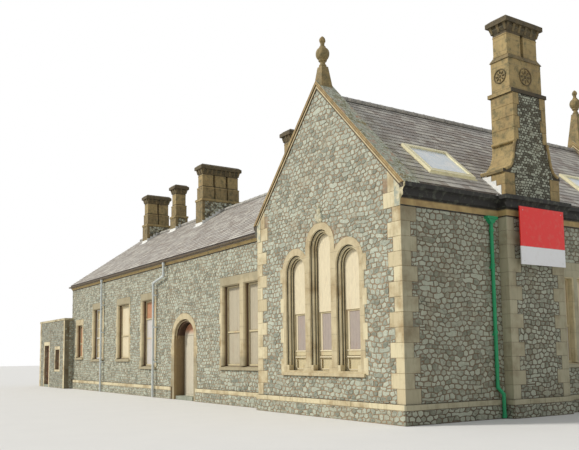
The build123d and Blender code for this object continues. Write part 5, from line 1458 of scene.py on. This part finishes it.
class STATION_OT_doorways(StationOperator, bpy.types.Operator):
    """Arch mouldings, jamb blocks and boards of the arched doorways, and the store's plank door"""

    bl_idname = "station.doorways"
    bl_label = "Doorways"

    def execute(self, context):
        rolls, jambs, boards, planks, straps = new_meshes(5)
        rng = random.Random(101)
        for plane, centre in ((facing("front", RANGE_FRONT), DOOR_X), (facing("rear", RANGE_REAR), -DOOR_X)):
            for i, (half, depth) in enumerate(((0.93, -0.01), (0.86, -0.07), (0.79, -0.135))):
                part = new_mesh()
                arch_rod(part, 0, half, 2.45, DOOR_SPRING, 0, 0.018)
                rise = (DOOR_CROWN - DOOR_SPRING - 0.07 * i + 0.005) / half
                for vert in part.verts:
                    x, y, z = vert.co
                    vert.co = (centre + x, z + (rise - 1) * max(0.0, z - DOOR_SPRING), depth + y)
                add_to(rolls, part, plane)
            for side in (-1, 1):
                inner = centre + side * 0.925
                for i in range(6):
                    low = PLINTH_TOP + i * 0.33
                    outer = inner + side * (0.27 if i % 2 else 0.34)
                    box(jambs, (inner, low, -0.05), (outer, low + 0.322, 0.02), rng.random(), plane)
            planked(boards, plane, centre - 0.72, centre + 0.72, 0.215, 2.595, -0.438, rng)
        left, right, y = STORE_DOOR[0] + 0.008, STORE_DOOR[1] - 0.008, ANNEXE_FRONT + 0.19
        for start, end in steps(left, right, 0.14):
            box(planks, (start + 0.002, y - 0.012, 0.165 + rng.uniform(0, 0.012)),
                (end - 0.002, y + 0.002, 2.485), rng.random())
        for z in (0.5, 2.15):
            box(straps, (left + 0.02, y - 0.02, z), (right - 0.2, y - 0.01, z + 0.05), 0.4)
            for i in range(4):
                x = left + 0.1 + i * 0.2
                cylinder(straps, (x, y - 0.028, z + 0.025), (x, y - 0.018, z + 0.025), 0.011, 8)
        cylinder(straps, (right - 0.12, y - 0.016, 1.2), (right - 0.12, y - 0.05, 1.2), 0.02, 10)
        soften(jambs, 0.006)
        soften(planks, 0.003)
        soften(straps, 0.002)
        add_to(rolls, jambs)
        piece("doorway_rolls", rolls, "jamb")
        piece("doorway_planks", boards, "door")
        piece("store_door_planks", planks, "store door", body="annexe_door_leaf")
        piece("store_door_straps", straps, "black iron", body="annexe_door_leaf")
        return {"FINISHED"}


def dressed_opening(opening, jamb, lintel, sill=0.0):
    """Hole in the store's rubble for an opening, and its dressed stones as left, right, foot and head."""
    left, right, foot, head = opening
    stones = [(left - jamb, left, foot, head), (right, right + jamb, foot, head),
              (left - jamb, right + jamb, head, head + lintel)]
    if sill:
        stones.append((left - jamb - 0.03, right + jamb + 0.03, foot - sill, foot))
    return square_hole(left - jamb, right + jamb, foot - sill, head + lintel), stones


class STATION_OT_store(StationOperator, bpy.types.Operator):
    """Rubble, corner blocks and window planks of the low store at the far end"""

    bl_idname = "station.store"
    bl_label = "Store"

    def execute(self, context):
        stones, blocks, planks = new_meshes(3)
        rng = random.Random(111)
        door, door_stones = dressed_opening(STORE_DOOR, 0.16, 0.22)
        window, window_stones = dressed_opening(STORE_WINDOW, 0.14, 0.19, 0.12)
        corner = square_hole(-ANNEXE_FRONT - 0.26, -ANNEXE_FRONT, 0, 4)
        front = [door, window, square_hole(ANNEXE_LEFT, ANNEXE_LEFT + 0.26, 0, 4),
                 square_hole(ANNEXE_RIGHT - 0.26, ANNEXE_RIGHT, 0, 4)]
        for side, value, left, right, holes, seed in (
            ("front", ANNEXE_FRONT, ANNEXE_LEFT, ANNEXE_RIGHT, front, 112),
            ("right", ANNEXE_RIGHT, ANNEXE_FRONT, RANGE_FRONT, [], 113),
            ("left", ANNEXE_LEFT, -ANNEXE_REAR, -ANNEXE_FRONT, [corner], 114),
            ("rear", ANNEXE_REAR, -RANGE_LEFT, -ANNEXE_LEFT, [], 115),
        ):
            rubble(stones, facing(side, value), left, right, 0, ANNEXE_TOP, holes, seed)
        for left, right, low, high in door_stones + window_stones:
            upright = high - low > right - left
            for foot, head in steps(low, high, 0.36 if upright else high - low):
                box(blocks, (left + 0.002, ANNEXE_FRONT - 0.014, foot + BED),
                    (right - 0.002, ANNEXE_FRONT + 0.1, head - BED), rng.random() * 0.6)
        spans = [(foot, head, 0.25, 0.25) for foot, head, _, _ in quoin_spans(0, ANNEXE_TOP)]
        for x, outward in ((ANNEXE_LEFT, -1), (ANNEXE_RIGHT, 1)):
            corner_blocks(blocks, (x, ANNEXE_FRONT), (outward, -1), spans, rng)
        soften(blocks, 0.006)
        left, right, foot, head = STORE_WINDOW
        planked(planks, facing("front", ANNEXE_FRONT), left + 0.005, right - 0.005, foot + 0.005, head - 0.005,
                -0.188, rng, 0.012)
        piece("store_rubble", stones, "rubble")
        piece("store_blocks", blocks, "ashlar")
        piece("store_window_planks", planks, "store door")
        return {"FINISHED"}


def collar(mesh, x, y, low, high, radius):
    cylinder(mesh, (x, y, low), (x, y, high), radius)


class STATION_OT_rainwater(StationOperator, bpy.types.Operator):
    """Pipe collars and bolts, hopper rim, gutter collars and lead flashings"""

    bl_idname = "station.rainwater"
    bl_label = "Rainwater goods and lead"

    def execute(self, context):
        green, iron, gutters, lead = new_meshes(4)
        x, y = HALF + 0.07, STACK_Y - 1.53
        for z in (1.3, 2.2, 4.0, 4.95):
            collar(green, x, y, z + 0.05, z + 0.13, 0.064)
        for z in (2.225, 4.025):
            for bolt in (y - 0.055, y + 0.055):
                cylinder(green, (x - 0.05, bolt, z), (x + 0.012, bolt, z), 0.012, 8)
        box(green, (HALF + 0.002, y - 0.208, CORNICE_FOOT - 0.075),
            (HALF + 0.148, y + 0.208, CORNICE_FOOT - 0.045))
        collar(green, x + 0.07, y + 0.14, 0.02, 0.12, 0.062)
        outlet = GUTTER_Z - 0.065
        for window, aside in ((WINDOWS[1], 0), (WINDOWS[3], 1.1)):
            x = window[0] + window[1] / 2 + 0.205
            for z in (0.3, 1.55, 3.05, 4.45):
                collar(iron, x, GUTTER_Y, z + 0.01, z + 0.1, 0.062)
            collar(iron, x + aside, GUTTER_Y, outlet - 0.12, outlet - 0.005, 0.066)
            if aside:
                collar(iron, x + aside, GUTTER_Y, outlet - 0.56, outlet - 0.45, 0.064)
                collar(iron, x, GUTTER_Y, outlet - 0.92, outlet - 0.81, 0.064)
        for y in (GUTTER_Y, 2 * RANGE_MIDDLE - GUTTER_Y):
            for i in range(24):
                x = RANGE_LEFT + 0.3 + i * 0.92
                bead = new_mesh()
                cylinder(bead, (x, y, GUTTER_Z), (x + 0.035, y, GUTTER_Z), 0.072, 20)
                trim(bead, (0, 0, GUTTER_Z), (0, 0, 1))
                add_to(gutters, bead)
        for low, high in ((0.2, STACK_Y - 1.16), (STACK_Y + 1.16, 11.7)):
            box(lead, (3.5, low, CORNICE_TOP - 0.012), (3.665, high, CORNICE_TOP + 0.012), 0.5)
        for i in range(4):
            x = 3.66 - i * 0.17
            z = wing_surface(x - 0.17)
            for side in (-1, 1):
                box(lead, (x - 0.175, STACK_Y + side * 1.172, z - 0.14),
                    (x, STACK_Y + side * 1.15, z + 0.16), 0.5)
        box(lead, (3.3, STACK_Y - 1.4, CORNICE_TOP - 0.02), (3.72, STACK_Y - 1.16, CORNICE_TOP + 0.02), 0.5)
        for x, flues in CHIMNEYS:
            half = base_half(flues)
            for side in (-1, 1):
                for low, high in steps(0, half, 0.17, 2):
                    z = range_surface(RANGE_MIDDLE + low)
                    for face in (-1, 1):
                        box(lead, (x + face * 0.365, RANGE_MIDDLE + side * low, z - 0.2),
                            (x + face * 0.378, RANGE_MIDDLE + side * high, z + 0.1), 0.5)
                edge = RANGE_MIDDLE + side * half
                z = range_surface(edge)
                box(lead, (x - 0.38, edge, z - 0.04), (x + 0.38, edge + side * 0.014, z + 0.14), 0.5)
                for vert in box(lead, (x - 0.42, edge, 0), (x + 0.42, edge + side * 0.18, 0.012), 0.5):
                    vert.co.z += range_surface(vert.co.y) + 0.026
        soften(green, 0.004)
        soften(iron, 0.004)
        soften(lead, 0.003)
        piece("green_pipe_fittings", green, "green")
        piece("range_pipe_fittings", iron, "iron")
        piece("gutter_collars", gutters, "gutter")
        piece("lead_flashings", lead, "lead")
        return {"FINISHED"}


class STATION_OT_sign_and_skylights(StationOperator, bpy.types.Operator):
    """Edge trim and bolts of the plain sign, glazing bars and hoods of the roof lights"""

    bl_idname = "station.sign_and_skylights"
    bl_label = "Sign and roof lights"

    def execute(self, context):
        bolts, bars = new_meshes(2)
        low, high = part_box("sign_plate")
        face = high.x
        for y in (low.y + 0.12, high.y - 0.12):
            for z in (low.z + 0.1, high.z - 0.1):
                cylinder(bolts, (face - 0.004, y, z), (face + 0.006, y, z), 0.014, 10)
        box(bolts, (face - 0.002, low.y, SIGN_SPLIT - 0.003), (face + 0.0015, high.y, SIGN_SPLIT + 0.007))
        plane = slope("right", WING_PITCH, 0, WING_RIDGE)
        wide, top, tall = SKYLIGHT
        for start in SKYLIGHTS:
            left, right, head, foot = start + 0.1, start + wide - 0.1, -top - 0.1, -top - tall + 0.1
            for first, second in (((left, head - 0.03), (right, head)), ((left, foot), (right, foot + 0.03)),
                                  ((left, foot + 0.03), (left + 0.03, head - 0.03)),
                                  ((right - 0.03, foot + 0.03), (right, head - 0.03))):
                box(bars, (*first, 0.05), (*second, 0.096), plane=plane)
            box(bars, (start - 0.05, foot - 0.17, 0), (start + wide + 0.05, foot - 0.09, 0.04), plane=plane)
        soften(bars, 0.005)
        soften(bolts, 0.001)
        piece("sign_bolts", bolts, "iron")
        piece("roof_light_bars", bars, "cream paint")
        return {"FINISHED"}


NODES_BY_FINISH = {
    "mortar": ("wing_front_wall", "wing_rear_wall", "wing_right_wall", "wing_left_wall", "chimney_breast",
               "range_front_wall", "range_rear_wall", "range_end_wall", "annexe_front_wall", "annexe_over_door",
               "annexe_outer_walls", "plinth"),
    "jamb": ("lancet_surround", "wing_window_surrounds", "range_window_surrounds", "door_surrounds"),
    "shaft": ("stack_base", "stack_shaft"),
    "cap": ("stack_cap",),
    "chimney": ("ridge_chimneys",),
    "coping": ("gable_copings",),
    "ledge": ("annexe_coping",),
    "eaves": ("range_eaves",),
    "cornice": ("wing_cornices",),
    "slate": ("wing_roof_right", "wing_roof_left", "range_roof_front", "range_roof_rear", "annexe_roof"),
    "tile": ("wing_ridge", "range_ridge"),
    "sash": ("lancet_boards", "wing_window_boards", "range_window_boards"),
    "door": ("door_boards",),
    "store door": ("annexe_door", "annexe_window_board"),
    "gutter": ("range_gutters",),
    "iron": ("range_downpipes",),
    "black iron": ("annexe_pintles",),
    "green": ("wing_downpipe",),
    "flag": ("floors",),
    "cream paint": ("skylight_frames",),
    "glass": ("skylight_panes",),
    "sign": ("sign_plate",),
}


class STATION_OT_finishes(StationOperator, bpy.types.Operator):
    """Finishes of the frame's own solids"""

    bl_idname = "station.finishes"
    bl_label = "Finishes of the frame"

    def execute(self, context):
        for finish, names in NODES_BY_FINISH.items():
            for obj in (NODES[name] for name in names):
                if not obj.material_slots:
                    obj.data.materials.append(None)
                for slot in obj.material_slots:
                    slot.material = finish_of(finish)
        return {"FINISHED"}


class STATION_OT_studio(StationOperator, bpy.types.Operator):
    """Pale floor, white backdrop, soft sun and the camera"""

    bl_idname = "station.studio"
    bl_label = "Studio"

    def execute(self, context):
        link = context.scene.collection.objects.link
        mesh = bmesh.new()
        bmesh.ops.create_grid(mesh, x_segments=1, y_segments=1, size=150)
        shift(mesh, -10, 5, -0.002)
        data = bpy.data.meshes.new("studio_floor")
        mesh.to_mesh(data)
        mesh.free()
        f, tint = Finish("studio floor"), tuple(colours().ground)
        worn = tuple(value * 0.98 for value in tint)
        data.materials.append(f.finish(f.ramp(f.speckle(0.8, 2), (0.3, worn), (0.7, tint)), 0.95))
        floor = bpy.data.objects.new("studio_floor", data)
        link(floor)

        world = context.scene.world or bpy.data.worlds.new("studio sky")
        context.scene.world = world
        world.use_nodes = True
        nodes, links = world.node_tree.nodes, world.node_tree.links
        nodes.clear()
        kinds = ("LightPath", "Math", "Math", "Background", "Background", "MixShader", "OutputWorld")
        path, seen, both, fill, sky, mix, out = (nodes.new("ShaderNode" + kind) for kind in kinds)
        seen.operation = both.operation = "MAXIMUM"
        for shader, tint, strength in ((fill, (0.93, 0.96, 1.0, 1), 0.5), (sky, (1, 1, 1, 1), 1)):
            shader.inputs["Color"].default_value = tint
            shader.inputs["Strength"].default_value = strength
        for source, target in (
            (path.outputs["Is Camera Ray"], seen.inputs[0]), (path.outputs["Is Glossy Ray"], seen.inputs[1]),
            (seen.outputs[0], both.inputs[0]), (path.outputs["Is Transmission Ray"], both.inputs[1]),
            (both.outputs[0], mix.inputs[0]), (fill.outputs[0], mix.inputs[1]), (sky.outputs[0], mix.inputs[2]),
            (mix.outputs[0], out.inputs[0]),
        ):
            links.new(source, target)

        sun = bpy.data.lights.new("soft_sun", "SUN")
        sun.energy = 2.6
        sun.angle = math.radians(9)
        sun.color = (1.0, 0.965, 0.9)
        lamp = bpy.data.objects.new("soft_sun", sun)
        lamp.rotation_euler = Vector((-0.42, -0.72, 0.62)).to_track_quat("Z", "Y").to_euler()
        link(lamp)

        yaw, pitch, roll = 0.99484, 0.10508, -0.0122035
        right = Vector((math.cos(yaw), math.sin(yaw), 0))
        ahead = Vector((-math.sin(yaw) * math.cos(pitch), math.cos(yaw) * math.cos(pitch), math.sin(pitch)))
        up = right.cross(ahead)
        side = math.cos(roll) * right + math.sin(roll) * up
        top = math.cos(roll) * up - math.sin(roll) * right
        view = bpy.data.cameras.new("photo_view")
        view.sensor_fit = "HORIZONTAL"
        view.sensor_width = 36
        view.lens = 45.5
        view.shift_y = 0.0915
        view.clip_end = 500
        camera = bpy.data.objects.new("photo_view", view)
        turn = Matrix((side, top, -ahead)).transposed().to_4x4()
        camera.matrix_world = Matrix.Translation((17.041, -12.413, 1.742)) @ turn
        link(camera)
        context.scene.camera = camera
        context.scene.view_settings.view_transform = "Standard"
        return {"FINISHED"}


OPERATORS = (
    STATION_OT_studio,
    STATION_OT_finishes,
    STATION_OT_wing_walls,
    STATION_OT_range_walls,
    STATION_OT_plinth,
    STATION_OT_breast,
    STATION_OT_stack_carving,
    STATION_OT_slates,
    STATION_OT_ridges,
    STATION_OT_finials,
    STATION_OT_lancets,
    STATION_OT_range_windows,
    STATION_OT_doorways,
    STATION_OT_store,
    STATION_OT_rainwater,
    STATION_OT_sign_and_skylights,
)


class STATION_PT_panel(bpy.types.Panel):
    """Sizes, colours and pieces of the station building"""

    bl_idname = "STATION_PT_panel"
    bl_label = "Station building"
    bl_space_type = "VIEW_3D"
    bl_region_type = "UI"
    bl_category = "Station"

    def draw(self, context):
        layout = self.layout
        for group in (context.scene.station_sizes, context.scene.station_colours):
            column = layout.column()
            for name in group.__annotations__:
                column.prop(group, name)
        for operator in OPERATORS:
            layout.operator(operator.bl_idname)


CLASSES = (StationSizes, StationColours, *OPERATORS, STATION_PT_panel)


def register():
    for item in CLASSES:
        bpy.utils.register_class(item)
    bpy.types.Scene.station_sizes = PointerProperty(type=StationSizes)
    bpy.types.Scene.station_colours = PointerProperty(type=StationColours)


def unregister():
    del bpy.types.Scene.station_colours
    del bpy.types.Scene.station_sizes
    for item in reversed(CLASSES):
        bpy.utils.unregister_class(item)


def main():
    register()
    for operator in OPERATORS:
        group, name = operator.bl_idname.split(".")
        getattr(getattr(bpy.ops, group), name)()


if __name__ == "__main__":
    main()
